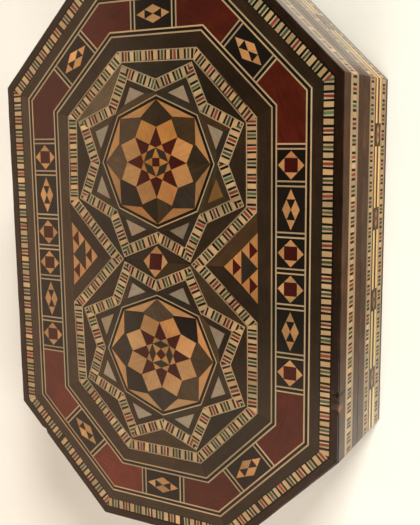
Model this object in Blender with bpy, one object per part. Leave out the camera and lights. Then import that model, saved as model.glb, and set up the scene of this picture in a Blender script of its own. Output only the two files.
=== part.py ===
"""Octagonal marquetry box with a lift-off lid, lying on its underside.

The lid's pattern is drawn first, from two star medallions outwards, and the box takes its size
from it: star, striped bands, dark field, framed panels, dark ring, striped border, walnut edge.
X runs across the box, Y along it and Z up. The origin is at the middle of the underside.
"""

import math

import bmesh
import bpy
from mathutils import Vector

# Driving dimensions of the lid's pattern, in metres, from the medallions outwards
STAR_APOTHEM = 0.0507  # centre of a medallion to the straight side of its octagon
STRIPED_WIDTH = 0.0059  # every striped band on the lid
FIELD_WIDTH = 0.0069  # dark field round the striped octagons
LINE_WIDTH = 0.0031  # a cream, black and cream stringing line
PANEL_WIDTH = 0.0143  # red panels and motif panels, across the frame
DARK_RING_WIDTH = 0.0051
BORDER_WIDTH = 0.0056
EDGE_WIDTH = 0.0045  # top edge of the lid's rim, outside the striped border
SQUARE_PANEL_LENGTH = 0.0143
DIAMOND_PANEL_LENGTH = 0.0212
# How far the hand-laid panels of each side sit from its middle, anticlockwise from the right side
PANEL_SLIPS = (0.0, 0.0007, 0.0009, -0.0027, -0.0029, -0.0005, -0.0010, -0.0016)

# Driving dimensions of the tiles, as distances from the middle of their piece
MEDALLION_GAP = 0.0016  # dark wood between a medallion's corners and its star
MEDALLION_LINES = 0.0015  # cream and black lines round a medallion
ROSETTE_RADIUS = 0.0180  # where neighbouring orange squares meet
PEARL_MARGIN = 0.0034  # dark wood round a triangle of mother-of-pearl
SQUARE_MOTIF = 0.00335  # half the side of the dark red square
WAIST_MOTIF = 0.0040  # the same in the rhombus at the waist
DIAMOND_MOTIF_LENGTH = 0.0098
DIAMOND_MOTIF_WIDTH = 0.0045

# Driving dimensions of the boards and of the bands on the sides, from the floor up
WALL = 0.0070
BOTTOM_THICKNESS = 0.0050
BOTTOM_REBATE = 0.0030
TOP_THICKNESS = 0.0050
VENEER = 0.0012  # marquetry on the lid
INLAY = 0.0008  # pieces let into the ground of the stars
SIDE_INLAY = 0.0010
JOINT_DEPTH = 0.00025  # joints between tiles of one piece
FOOT_EDGE = 0.0026
LOWER_MOSAIC = 0.0086
STRINGING = 0.0083
DARK_LINE = 0.0017
UPPER_MOSAIC = 0.0084
BASE_EDGE = 0.0091
LID_LOWER_EDGE = 0.0080
LID_MOSAIC = 0.0111
LID_UPPER_EDGE = 0.0089

GAP = 0.0003  # clearance between pieces that touch
CUT_MARGIN = 0.0020  # how far a cutter runs past what it cuts

# Apothems of the lid's nested octagons, worked out from the widths
LATTICE = STAR_APOTHEM + STRIPED_WIDTH
FIELD = LATTICE + FIELD_WIDTH
PANELS = FIELD + LINE_WIDTH
OUTER_LINE = PANELS + PANEL_WIDTH
DARK_RING = OUTER_LINE + LINE_WIDTH
BORDER = DARK_RING + DARK_RING_WIDTH
RIM = BORDER + BORDER_WIDTH
HALF_WIDTH = RIM + EDGE_WIDTH
HALF_TURN = math.pi
EIGHTH = HALF_TURN / 4
SIDES = 8

# Radii of the stars' tips, of the notches inside their bands, and of the medallions
STAR_TIP_RADIUS = STAR_APOTHEM / math.cos(EIGHTH / 2)
NOTCH_RADIUS = (STAR_TIP_RADIUS * math.cos(EIGHTH) - STRIPED_WIDTH) / math.cos(EIGHTH / 2)
MEDALLION_RADIUS = NOTCH_RADIUS - MEDALLION_GAP

# Heights above the floor, worked out from the bands
LOWER_MOSAIC_Z = FOOT_EDGE
STRINGING_Z = LOWER_MOSAIC_Z + LOWER_MOSAIC
UPPER_MOSAIC_Z = STRINGING_Z + STRINGING + DARK_LINE
BASE_TOP = UPPER_MOSAIC_Z + UPPER_MOSAIC + BASE_EDGE
LID_BOTTOM = BASE_TOP + GAP
LID_MOSAIC_Z = LID_BOTTOM + LID_LOWER_EDGE
LID_TOP = LID_MOSAIC_Z + LID_MOSAIC + LID_UPPER_EDGE
TOP_PANEL_Z = LID_TOP - VENEER - TOP_THICKNESS

SIDE_NAMES = (
    "right",
    "back_right",
    "back",
    "back_left",
    "left",
    "front_left",
    "front",
    "front_right",
)
LONG_SIDES = (0, 4)

# Colour, roughness and metallic value of each finish
FINISHES = {
    "walnut": ((0.075, 0.050, 0.035), 0.35, 0.0),
    "plain_wood": ((0.33, 0.22, 0.13), 0.60, 0.0),
    "black_wood": ((0.022, 0.018, 0.015), 0.30, 0.0),
    "red_wood": ((0.190, 0.045, 0.028), 0.30, 0.0),
    "cream_wood": ((0.640, 0.450, 0.260), 0.35, 0.0),
    "striped_mosaic": ((0.420, 0.270, 0.150), 0.35, 0.0),
    "star_mosaic": ((0.300, 0.170, 0.080), 0.35, 0.0),
    "motif_mosaic": ((0.360, 0.170, 0.060), 0.35, 0.0),
}


def clear_scene():
    """Removes every object that is in the file."""
    for obj in list(bpy.data.objects):
        bpy.data.objects.remove(obj, do_unlink=True)


def new_collection(name):
    """A collection of this name, linked to the scene."""
    collection = bpy.data.collections.new(name)
    bpy.context.scene.collection.children.link(collection)
    return collection


def make_material(name):
    """A Principled material with the colour, roughness and metallic value of FINISHES."""
    colour, roughness, metallic = FINISHES[name]
    material = bpy.data.materials.new(name)
    material.use_nodes = True
    shader = material.node_tree.nodes["Principled BSDF"]
    shader.inputs["Base Color"].default_value = (*colour, 1.0)
    shader.inputs["Roughness"].default_value = roughness
    shader.inputs["Metallic"].default_value = metallic
    return material


def octagon(apothem):
    """Corners of an octagon, anticlockwise from the foot of its right side.

    A regular one is cut across and its halves are moved apart along Y, which makes it long.
    """
    corners = []
    for index in range(SIDES):
        angle = (index - 0.5) * EIGHTH
        radius = apothem / math.cos(EIGHTH / 2)
        y = radius * math.sin(angle)
        corners.append((radius * math.cos(angle), y + math.copysign(STAR_APOTHEM, y)))
    return corners


def star(inset, middle_y):
    """Outline of an eight-pointed star of two crossed squares, moved inwards by inset."""
    half_side = STAR_TIP_RADIUS * math.cos(EIGHTH) - inset
    tip = half_side / math.cos(EIGHTH)
    notch = half_side / math.cos(EIGHTH / 2)
    points = []
    for index in range(2 * SIDES):
        radius = notch if index % 2 == 0 else tip
        angle = index * EIGHTH / 2
        points.append((radius * math.cos(angle), middle_y + radius * math.sin(angle)))
    return points


def linked_octagons(apothem):
    """Outline of two octagons that overlap at the waist of the lid, seen as one figure."""
    slope = math.tan(EIGHTH / 2)
    shoulder_y = STAR_APOTHEM - apothem * slope
    waist_x = apothem - shoulder_y
    right_side = [
        (waist_x, 0.0),
        (apothem, shoulder_y),
        (apothem, STAR_APOTHEM + apothem * slope),
        (apothem * slope, STAR_APOTHEM + apothem),
    ]
    left_side = [(-x, y) for x, y in reversed(right_side)]
    upper = right_side + left_side
    lower = [(-x, -y) for x, y in upper[1:-1]]
    return upper + lower


def moved_edges(points, amounts):
    """The anticlockwise outline with each edge moved outwards by its own amount."""
    count = len(points)
    edges = []
    for index in range(count):
        start = Vector(points[index])
        along = (Vector(points[(index + 1) % count]) - start).normalized()
        outward = Vector((along.y, -along.x))
        edges.append((start + outward * amounts[index], along))
    corners = []
    for index in range(count):
        before, before_along = edges[index - 1]
        after, after_along = edges[index]
        turn = before_along.cross(after_along)
        reach = (after - before).cross(after_along) / turn
        corners.append(tuple(before + before_along * reach))
    return corners


def grown(points, amount):
    """The outline moved outwards all round by amount, or inwards where it is negative."""
    return moved_edges(points, [amount] * len(points))


def side_frame(side):
    """Middle of a side of the lid at apothem zero, its direction and its outward direction."""
    angle = side * EIGHTH
    outward = Vector((math.cos(angle), math.sin(angle)))
    along = Vector((-outward.y, outward.x))
    near, far = (Vector(octagon(1.0)[index]) for index in (side, (side + 1) % SIDES))
    return (near + far) / 2 - outward, along, outward


def side_point(side, along_distance, apothem):
    """The point at this distance along a side and at this apothem."""
    middle, along, outward = side_frame(side)
    return tuple(middle + along * along_distance + outward * apothem)


def flat_curve(name, outlines, low, high):
    """A plate between two heights, as a filled curve: its edge first, and then its holes."""
    curve = bpy.data.curves.new(name, "CURVE")
    curve.dimensions = "2D"
    curve.fill_mode = "BOTH"
    curve.extrude = (high - low) / 2
    for outline in outlines:
        spline = curve.splines.new("POLY")
        spline.points.add(len(outline) - 1)
        for point, (x, y) in zip(spline.points, outline):
            point.co = (x, y, 0.0, 1.0)
        spline.use_cyclic_u = True
    obj = bpy.data.objects.new(name, curve)
    obj.location.z = (low + high) / 2
    return obj


def flat_mesh(name, outlines, low, high, collection):
    """The same plate as a closed mesh, ready to be cut or to cut."""
    source = flat_curve(name + "_outline", outlines, low, high)
    collection.objects.link(source)
    bpy.context.view_layer.update()
    graph = bpy.context.evaluated_depsgraph_get()
    mesh = bpy.data.meshes.new_from_object(source.evaluated_get(graph))
    mesh.name = name
    work = bmesh.new()
    work.from_mesh(mesh)
    bmesh.ops.remove_doubles(work, verts=work.verts, dist=1e-6)
    bmesh.ops.recalc_face_normals(work, faces=work.faces)
    work.to_mesh(mesh)
    work.free()
    obj = bpy.data.objects.new(name, mesh)
    obj.matrix_world = source.matrix_world
    bpy.data.objects.remove(source, do_unlink=True)
    collection.objects.link(obj)
    return obj


def cutter(name, outlines, low, high):
    """A closed mesh that only cuts."""
    obj = flat_mesh(name, outlines, low, high, CUTTERS)
    obj.hide_render = True
    obj.display_type = "WIRE"
    return obj


def joint_cutter(name, edge, tiles):
    """A thin net that cuts the joints between the tiles of one piece."""
    outlines = [grown(edge, GAP / 2)] + [grown(tile, -GAP / 2) for tile in tiles]
    return cutter(name, outlines, LID_TOP - JOINT_DEPTH, LID_TOP + CUT_MARGIN)


def finish(obj, finish_name):
    """Gives a piece its material and hangs it under the box's empty."""
    obj.data.materials.clear()
    obj.data.materials.append(MATERIALS[finish_name])
    obj.parent = BOX_ROOT
    return obj


def plate(name, outlines, low, high, finish_name):
    """A flat piece that needs no cutting."""
    obj = flat_curve(name, outlines, low, high)
    PIECES.objects.link(obj)
    return finish(obj, finish_name)


def cut_plate(name, outlines, low, high, finish_name, cutters):
    """A flat piece with each cutter taken out of it."""
    obj = flat_mesh(name, outlines, low, high, PIECES)
    for tool in cutters:
        boolean = obj.modifiers.new(tool.name, "BOOLEAN")
        boolean.operation = "DIFFERENCE"
        boolean.object = tool
    return finish(obj, finish_name)


def ring(outer, inner):
    """Outlines of a stretched octagonal ring between two apothems."""
    return [octagon(outer), octagon(inner)]


def board(name, side, low, high, cutters):
    """One side board, mitred at both ends, with its rebate and its grooves."""
    outside = octagon(HALF_WIDTH)
    inside = octagon(HALF_WIDTH - WALL)
    after = (side + 1) % SIDES
    outline = [outside[side], outside[after], inside[after], inside[side]]
    mitred = moved_edges(outline, [0.0, -GAP / 2, 0.0, -GAP / 2])
    return cut_plate(name, [mitred], low, high, "walnut", cutters)


def groove(name, low, high):
    """Cutter for a shallow groove all round the sides."""
    outlines = ring(HALF_WIDTH + CUT_MARGIN, HALF_WIDTH - SIDE_INLAY - GAP)
    return cutter(name, outlines, low - GAP / 2, high + GAP / 2)


def side_band(name, low, height, finish_name):
    """A band of mosaic that fills a groove, flush with the sides."""
    outlines = ring(HALF_WIDTH, HALF_WIDTH - SIDE_INLAY)
    return plate(name, outlines, low + GAP / 2, low + height - GAP / 2, finish_name)


def make_base():
    """Bottom panel, eight walls and the three bands let into them."""
    floor_apothem = HALF_WIDTH - WALL + BOTTOM_REBATE
    rebate = cutter(
        "bottom_rebate_cutter",
        [octagon(floor_apothem + GAP / 2)],
        -CUT_MARGIN,
        BOTTOM_THICKNESS + GAP,
    )
    grooves = [
        groove("lower_mosaic_groove", LOWER_MOSAIC_Z, LOWER_MOSAIC_Z + LOWER_MOSAIC),
        groove("stringing_groove", STRINGING_Z, STRINGING_Z + STRINGING),
        groove("upper_mosaic_groove", UPPER_MOSAIC_Z, UPPER_MOSAIC_Z + UPPER_MOSAIC),
    ]
    for side, name in enumerate(SIDE_NAMES):
        board("base_wall_" + name, side, 0.0, BASE_TOP, [rebate, *grooves])
    floor_outline = octagon(floor_apothem - GAP / 2)
    plate("base_bottom_panel", [floor_outline], 0.0, BOTTOM_THICKNESS, "plain_wood")
    side_band("base_lower_mosaic", LOWER_MOSAIC_Z, LOWER_MOSAIC, "striped_mosaic")
    side_band("base_stringing", STRINGING_Z, STRINGING, "cream_wood")
    side_band("base_upper_mosaic", UPPER_MOSAIC_Z, UPPER_MOSAIC, "striped_mosaic")


def make_lid():
    """Eight rim boards, the panel in their rebate and the band round the sides."""
    rebate = cutter(
        "top_rebate_cutter",
        [octagon(RIM + GAP / 2)],
        TOP_PANEL_Z - GAP,
        LID_TOP + CUT_MARGIN,
    )
    side_groove = groove("lid_mosaic_groove", LID_MOSAIC_Z, LID_MOSAIC_Z + LID_MOSAIC)
    for side, name in enumerate(SIDE_NAMES):
        board("lid_rim_" + name, side, LID_BOTTOM, LID_TOP, [rebate, side_groove])
    panel_outline = octagon(RIM - GAP / 2)
    plate("lid_top_panel", [panel_outline], TOP_PANEL_Z, LID_TOP - VENEER, "plain_wood")
    side_band("lid_side_mosaic", LID_MOSAIC_Z, LID_MOSAIC, "striped_mosaic")


def veneer(name, outlines, finish_name, thickness=VENEER, cutters=()):
    """A piece of the lid's marquetry, a hair smaller all round than the place it fills."""
    edge, *holes = outlines
    fitted = [grown(edge, -GAP / 2)] + [grown(hole, GAP / 2) for hole in holes]
    low = LID_TOP - thickness + GAP
    if cutters:
        return cut_plate(name, fitted, low, LID_TOP, finish_name, cutters)
    return plate(name, fitted, low, LID_TOP, finish_name)


def make_outer_rings():
    """The striped border and the dark ring inside it."""
    veneer("lid_striped_border", ring(RIM, BORDER), "striped_mosaic")
    veneer("lid_dark_ring", ring(BORDER, DARK_RING), "black_wood")


def straight_panels(side):
    """Kind, start and end of each motif panel along a side, in order."""
    slip = PANEL_SLIPS[side]
    if side not in LONG_SIDES:
        half = DIAMOND_PANEL_LENGTH / 2
        return [("diamond", slip - half, slip + half)]
    panels = []
    start = LINE_WIDTH / 2
    for kind, length in (
        ("square", SQUARE_PANEL_LENGTH),
        ("diamond", DIAMOND_PANEL_LENGTH),
        ("square", SQUARE_PANEL_LENGTH),
    ):
        panels.append((kind, slip + start, slip + start + length))
        panels.append((kind, slip - start - length, slip - start))
        start += length + LINE_WIDTH
    return sorted(panels, key=lambda panel: panel[1])


def on_side(side, along_distance, apothem, points):
    """Points given along and across a panel, placed round the panel's middle."""
    return [side_point(side, along_distance + u, apothem + v) for u, v in points]


def motif_panel(side, start, end, kind):
    """Outline of a motif panel, outline of the motif in it, and its tiles."""
    half_length = (end - start) / 2
    half_width = PANEL_WIDTH / 2
    edge, tiles = MOTIFS[kind]()
    corners = box_outline(half_length, half_width)
    place = (side, start + half_length, PANELS + half_width)
    panel = turned_left(on_side(*place, corners))
    motif = turned_left(on_side(*place, edge))
    return panel, motif, [turned_left(on_side(*place, tile)) for tile in tiles]


def box_outline(half_length, half_width):
    """A rectangle round zero."""
    signs = ((-1, -1), (1, -1), (1, 1), (-1, 1))
    return [(u * half_length, v * half_width) for u, v in signs]


def rhombus_outline(half_length, half_width):
    """A rhombus round zero."""
    return [(half_length, 0.0), (0.0, half_width), (-half_length, 0.0), (0.0, -half_width)]


def quarter_turns(points):
    """The outline and its three copies, a quarter turn apart."""
    turned = []
    for _ in range(4):
        turned.append(points)
        points = [(-v, u) for u, v in points]
    return turned


def square_motif(half=SQUARE_MOTIF):
    """A diamond of four orange triangles round a dark red square."""
    point = [(half, -half), (2 * half, 0.0), (half, half)]
    return rhombus_outline(2 * half, 2 * half), [box_outline(half, half)] + quarter_turns(point)


def diamond_motif():
    """A long diamond of two triangles and two rhombi, with dark triangles between them."""
    length = DIAMOND_MOTIF_LENGTH
    width = DIAMOND_MOTIF_WIDTH
    end = [(length, 0.0), (length / 2, width / 2), (length / 2, -width / 2)]
    dark = [(0.0, 0.0), (length / 2, -width / 2), (length / 2, width / 2)]
    rhombus = [(0.0, 0.0), (length / 2, width / 2), (0.0, width), (-length / 2, width / 2)]
    half_turned = [[(-u, -v) for u, v in points] for points in (end, dark, rhombus)]
    return rhombus_outline(length, width), [end, dark, rhombus, *half_turned]


MOTIFS = {"square": square_motif, "diamond": diamond_motif}


def corner_outline(side):
    """Six corners of the red panel that wraps round the corner after this side."""
    after = (side + 1) % SIDES
    start = straight_panels(side)[-1][2] + LINE_WIDTH
    end = straight_panels(after)[0][1] - LINE_WIDTH
    return [
        side_point(side, start, PANELS),
        side_point(side, start, OUTER_LINE),
        octagon(OUTER_LINE)[after],
        side_point(after, end, OUTER_LINE),
        side_point(after, end, PANELS),
        octagon(PANELS)[after],
    ]


def turned_left(points):
    """The outline run anticlockwise."""
    pairs = zip(points, points[1:] + points[:1])
    area = sum(x0 * y1 - x1 * y0 for (x0, y0), (x1, y1) in pairs)
    return points if area > 0 else points[::-1]


def make_panel_frame():
    """Red corner panels and motif panels, with the stringing that frames them all."""
    holes = []
    for side, side_name in enumerate(SIDE_NAMES):
        for index, (kind, start, end) in enumerate(straight_panels(side)):
            name = f"{kind}_panel_{side_name}_{index + 1}"
            panel, motif, tiles = motif_panel(side, start, end, kind)
            holes.append(panel)
            joints = [joint_cutter(name + "_joints", motif, tiles)]
            veneer(name, [panel], "motif_mosaic", cutters=joints)
    for side in range(SIDES):
        panel = turned_left(corner_outline(side))
        holes.append(panel)
        veneer(f"red_corner_panel_{side + 1}", [panel], "red_wood")
    veneer("panel_stringing", ring(DARK_RING, FIELD) + holes, "cream_wood")


def waist_triangle(mirror):
    """Triangle in the dark field at one side of the waist, parallel to the striped bands."""
    apex_x = STAR_APOTHEM * math.tan(EIGHTH / 2)
    apex_x += (STRIPED_WIDTH + FIELD_WIDTH) / math.cos(EIGHTH)
    half_height = LATTICE - apex_x
    corners = [(apex_x, 0.0), (LATTICE, -half_height), (LATTICE, half_height)]
    return turned_left([(mirror * x, y) for x, y in corners])


def middle_of(first, second):
    """The point half way between two points."""
    return tuple((Vector(first) + Vector(second)) / 2)


def quartered(triangle):
    """Three corner triangles of half the size, and the middle one."""
    a, b, c = triangle
    ab, bc, ca = middle_of(a, b), middle_of(b, c), middle_of(c, a)
    return [(a, ab, ca), (ab, b, bc), (ca, bc, c)], (ab, bc, ca)


def waist_tiles(triangle):
    """The triangle quartered, and its three corners quartered again."""
    corners, middle = quartered(triangle)
    tiles = [middle]
    for corner in corners:
        smaller, centre = quartered(corner)
        tiles += [*smaller, centre]
    return [list(tile) for tile in tiles]


def waist_rhombus():
    """The place between the two stars, from tip to tip and from notch to notch."""
    tip_x = STAR_APOTHEM * math.tan(EIGHTH / 2)
    notch_y = STAR_APOTHEM - STAR_TIP_RADIUS * math.cos(EIGHTH) / math.cos(EIGHTH / 2)
    return rhombus_outline(tip_x, notch_y)


def round_middle(middle_y, radius, step):
    """The point of this radius, at this many eighths of a turn round a medallion."""
    angle = step * EIGHTH
    return radius * math.cos(angle), middle_y + radius * math.sin(angle)


def medallion_outline(middle_y, inset=0.0):
    """Octagon with its corners on the axes and the diagonals, moved inwards by inset."""
    radius = MEDALLION_RADIUS - inset / math.cos(EIGHTH / 2)
    return [round_middle(middle_y, radius, step) for step in range(SIDES)]


def medallion_tiles(middle_y, turn):
    """Kites, triangles, squares, darts and the small star in the middle, turned by turn."""
    rim = MEDALLION_RADIUS - MEDALLION_LINES / math.cos(EIGHTH / 2)
    meet = ROSETTE_RADIUS
    side = 2 * meet * math.sin(EIGHTH / 2)
    outer = meet * math.cos(EIGHTH / 2) + side / 2
    inner = meet * math.cos(EIGHTH / 2) - side / 2
    star_notch = inner * math.cos(EIGHTH) / math.cos(EIGHTH / 2)

    def at(radius, step):
        return round_middle(middle_y, radius, step)

    tiles = []
    for step in range(SIDES):
        tiles.append([at(rim, step), at(outer, step + 0.5), at(meet, step), at(outer, step - 0.5)])
        tiles.append([at(rim, step), at(rim, step + 1), at(outer, step + 0.5)])
        tiles.append(
            [at(inner, step + 0.5), at(meet, step), at(outer, step + 0.5), at(meet, step + 1)]
        )
        tiles.append(
            [at(star_notch, step), at(inner, step - 0.5), at(meet, step), at(inner, step + 0.5)]
        )
        tiles.append([at(inner, step + 0.5), at(star_notch, step + 1), at(star_notch, step)])
    square = star_notch * (1 - math.cos(EIGHTH)) / math.cos(EIGHTH)
    for quarter in range(4):
        step = 2 * quarter + turn
        corner = at(square, step + 1)
        before = at(square, step - 1)
        tiles.append(
            [at(star_notch, step), at(star_notch, step + 1), at(star_notch, step + 2), corner]
        )
        tiles.append([at(star_notch, step), corner, before])
    tiles.append([at(square, 2 * quarter + turn + 1) for quarter in range(4)])
    return [turned_left(tile) for tile in tiles]


def pearl_triangles(middle_y):
    """Mother-of-pearl in the eight points of a star, with dark wood all round."""
    base = MEDALLION_RADIUS * math.cos(EIGHTH / 2) + PEARL_MARGIN
    point = STAR_TIP_RADIUS - (STRIPED_WIDTH + PEARL_MARGIN) / math.sin(EIGHTH)
    triangles = []
    for side in range(SIDES):
        angle = (side + 0.5) * EIGHTH
        outward = Vector((math.cos(angle), math.sin(angle)))
        along = Vector((-outward.y, outward.x)) * (point - base)
        middle = Vector((0.0, middle_y)) + outward * base
        tip = Vector((0.0, middle_y)) + outward * point
        triangles.append([tuple(tip), tuple(middle + along), tuple(middle - along)])
    return triangles


def star_field_inlays():
    """Name, outlines, finish, motif edge and tiles of each piece let into the dark ground."""
    rhombus_edge, rhombus_tiles = square_motif(WAIST_MOTIF)
    inlays = [
        (
            "octagon_band",
            [linked_octagons(LATTICE), linked_octagons(STAR_APOTHEM)],
            "striped_mosaic",
            None,
            [],
        ),
        ("waist_rhombus", [waist_rhombus()], "motif_mosaic", rhombus_edge, rhombus_tiles),
    ]
    for name, mirror in (("right", 1), ("left", -1)):
        triangle = waist_triangle(mirror)
        tiles = waist_tiles(triangle)
        inlays.append((f"waist_triangle_{name}", [triangle], "motif_mosaic", triangle, tiles))
    for name, middle_y, turn in (("back", STAR_APOTHEM, 0), ("front", -STAR_APOTHEM, 1)):
        bands = [star(inset, middle_y) for inset in (0.0, STRIPED_WIDTH)]
        inlays.append((f"star_band_{name}", bands, "striped_mosaic", None, []))
        edge = medallion_outline(middle_y)
        tiled = medallion_outline(middle_y, MEDALLION_LINES)
        tiles = medallion_tiles(middle_y, turn)
        inlays.append((f"medallion_{name}", [edge], "star_mosaic", tiled, tiles))
    return inlays


def make_star_field():
    """Dark ground with every star, band and medallion let into it from above."""
    pockets = []
    for name, outlines, finish_name, motif, tiles in star_field_inlays():
        joints = [joint_cutter(name + "_joints", motif, tiles)] if tiles else []
        veneer(name, outlines, finish_name, thickness=INLAY, cutters=joints)
        edge, *holes = outlines
        pocket = [grown(edge, GAP / 2)] + [grown(hole, -GAP / 2) for hole in holes]
        pockets.append(
            cutter(name + "_pocket", pocket, LID_TOP - INLAY, LID_TOP + CUT_MARGIN)
        )
    pearl = []
    for middle_y in (STAR_APOTHEM, -STAR_APOTHEM):
        for triangle in pearl_triangles(middle_y):
            pearl += [grown(triangle, GAP / 2), grown(triangle, -GAP / 2)]
    pearl_low = LID_TOP - JOINT_DEPTH
    pockets.append(cutter("pearl_joints", pearl, pearl_low, LID_TOP + CUT_MARGIN))
    veneer("star_ground", [octagon(FIELD)], "black_wood", cutters=pockets)


clear_scene()
PIECES = new_collection("mosaic_box")
CUTTERS = new_collection("cutters")
MATERIALS = {name: make_material(name) for name in FINISHES}
BOX_ROOT = bpy.data.objects.new("mosaic_box_root", None)
PIECES.objects.link(BOX_ROOT)
make_base()
make_lid()
make_outer_rings()
make_panel_frame()
make_star_field()
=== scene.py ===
# %% [markdown]
# # An octagonal mosaic box
# The box is wood, inlaid all over with small tiles of many woods, and lacquered. It lies on its
# underside, with the lid on top. First comes the frame: the plain solids that give every size.

import math

import bpy
import numpy as np
from mathutils import Matrix, Vector


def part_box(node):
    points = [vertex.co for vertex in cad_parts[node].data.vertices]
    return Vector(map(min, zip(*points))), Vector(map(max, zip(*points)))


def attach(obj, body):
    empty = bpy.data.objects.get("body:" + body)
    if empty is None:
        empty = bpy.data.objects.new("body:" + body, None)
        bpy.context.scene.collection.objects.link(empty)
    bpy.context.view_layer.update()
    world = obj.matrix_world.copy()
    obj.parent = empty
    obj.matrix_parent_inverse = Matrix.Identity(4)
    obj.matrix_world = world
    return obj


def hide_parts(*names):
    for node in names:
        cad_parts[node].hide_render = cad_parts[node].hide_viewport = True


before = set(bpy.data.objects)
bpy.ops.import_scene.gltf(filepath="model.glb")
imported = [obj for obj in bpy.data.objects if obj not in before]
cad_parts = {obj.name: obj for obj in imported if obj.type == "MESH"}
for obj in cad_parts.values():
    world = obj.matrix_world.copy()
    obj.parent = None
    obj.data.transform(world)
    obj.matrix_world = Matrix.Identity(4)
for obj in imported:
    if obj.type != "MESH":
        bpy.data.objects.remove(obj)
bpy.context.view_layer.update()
MM = 0.001

# %% [markdown]
# Every size comes from the frame, so the mosaic always fits the box. A node's box is 0.15 mm
# smaller all round than the place it fills, because the solids have a small gap between them.

# %% Measure the frame
HALF_GAP = 0.15 * MM
GAP = 2 * HALF_GAP


def reach(node, axis, end=1):
    """Where a node ends along an axis (0 across, 1 along, 2 up), at its high or low end."""
    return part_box(node)[end][axis]


def place_end(node, axis, end=1):
    """The same for the place that the node fills."""
    return reach(node, axis, end) + (HALF_GAP if end else -HALF_GAP)


HALF_WIDTH = reach("lid_rim_right", 0)
HALF_LENGTH = reach("lid_rim_back", 1)
STRETCH = HALF_LENGTH - HALF_WIDTH
# From the middle to the inner edge of the rim, of the border, of the dark ring, of the outer
# line and of the panels, and to the outer edge of the field and of the octagons
RIM = place_end("lid_striped_border", 0)
BORDER = place_end("lid_dark_ring", 0)
DARK_RING = place_end("panel_stringing", 0)
OUTER_LINE = place_end("square_panel_right_4", 0)
PANELS = place_end("square_panel_right_4", 0, 0)
FIELD = place_end("star_ground", 0)
LATTICE = place_end("octagon_band", 0)
STRIPED_WIDTH = LATTICE - STRETCH
LID_TOP = reach("star_ground", 2)
LID_BOTTOM = reach("lid_rim_right", 2, 0)
BASE_TOP = reach("base_wall_right", 2)
MEDALLION = place_end("medallion_back", 0)
print("box", round(2 * HALF_WIDTH / MM, 1), "x", round(2 * HALF_LENGTH / MM, 1), "mm")
print("medallion radius", round(MEDALLION / MM, 2), "mm")

# %% [markdown]
# The lid is a regular octagon, cut across the middle and pulled apart, so two whole medallions
# fit. Its corners are a straight function of the distance from the middle to a side.

# %% Octagons
EIGHTH = math.pi / 4
SIDE_NAMES = ("right", "back_right", "back", "back_left")
SIDE_NAMES += ("left", "front_left", "front", "front_right")


def octagon(apothem):
    """Eight corners: apothem / cos(22.5 deg) at each odd half eighth, pushed STRETCH along Y."""
    angle = (np.arange(8) - 0.5) * EIGHTH
    corners = np.stack([np.cos(angle), np.sin(angle)], 1) * apothem / math.cos(EIGHTH / 2)
    corners[:, 1] += STRETCH * np.sign(corners[:, 1])
    return corners


def side_frame(side):
    """Middle of a side at apothem zero, its direction and its outward direction."""
    outward = np.array([math.cos(side * EIGHTH), math.sin(side * EIGHTH)])
    along = np.array([-outward[1], outward[0]])
    corners = octagon(1.0)
    return (corners[side] + corners[(side + 1) % 8]) / 2 - outward, along, outward


def side_point(side, distance, apothem):
    """The point this far along a side, at this apothem."""
    middle, along, outward = side_frame(side)
    return middle + along * distance + outward * apothem


def side_shape(side, *corners):
    """An outline on the lid. Each corner is its distance along the side and its apothem."""
    return [side_point(side, *corner) for corner in corners]


def half_side(side):
    """Half the length of a side of the box."""
    corners = octagon(HALF_WIDTH)
    return np.linalg.norm(corners[(side + 1) % 8] - corners[side]) / 2


def direction(start, end):
    """The angle of the line from start to end."""
    return math.atan2(*(np.asarray(end) - np.asarray(start))[::-1])


print("long side", round(float(half_side(0) * 2 / MM), 1), "mm")

# %% [markdown]
# A tile is a flat prism with a thin bevel, so each one catches the light like a real sliver of
# wood. All tiles of a piece become one mesh: whole arrays of corners are moved inwards at once,
# by the formula for mitred corners.

# %% Shape the tiles
JOINT = 0.02 * MM
BEVEL = 0.03 * MM
# Keeps the corner of a very sharp tile from moving far
LEAST_MEETING = 0.12


def tile_rings(corners, normals, sunk, thickness):
    """Bottom, shoulder and top ring of each tile.

    Each corner moves by (n0 + n1) / (1 + n0 . n1) times the inset, with n0 and n1 the inward
    directions of the two edges that meet there.
    """
    along = np.roll(corners, -1, 1) - corners
    along /= np.linalg.norm(along, axis=2, keepdims=True)
    inward = np.cross(normals[:, None], along)
    before = np.roll(inward, 1, 1)
    meeting = 1 + (before * inward).sum(2, keepdims=True)
    move = (before + inward) / np.maximum(meeting, LEAST_MEETING)
    up = normals[:, None]
    low = corners + move * JOINT - up * thickness
    shoulder = corners + move * JOINT - up * (sunk[:, None, None] + BEVEL)
    top = corners + move * (JOINT + BEVEL) - up * sunk[:, None, None]
    return np.stack([low, shoulder, top], 1)


def prism_faces(tiles, count):
    """Corner numbers of the side quads, the tops and the bottoms of tiles of count corners."""
    first = np.arange(tiles)[:, None] * 3 * count
    corner = np.arange(count)
    after = (corner + 1) % count
    quads = []
    for ring in (0, 1):
        low, high = ring * count, (ring + 1) * count
        quad = np.stack([low + corner, low + after, high + after, high + corner], 1)
        quads.append(first[:, :, None] + quad[None])
    quads = np.concatenate(quads, 1).reshape(-1, 4)
    return [quads, first + 2 * count + corner, first + corner[::-1]]


print("joint", JOINT / MM, "mm and bevel", BEVEL / MM, "mm on every tile")

# %% [markdown]
# One mesh maker serves every piece. It takes arrays of points and faces, and any values that
# belong to the points: the wood's colour, how strongly its grain shows, and how dirty its edge is.

# %% Put arrays into a mesh


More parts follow.
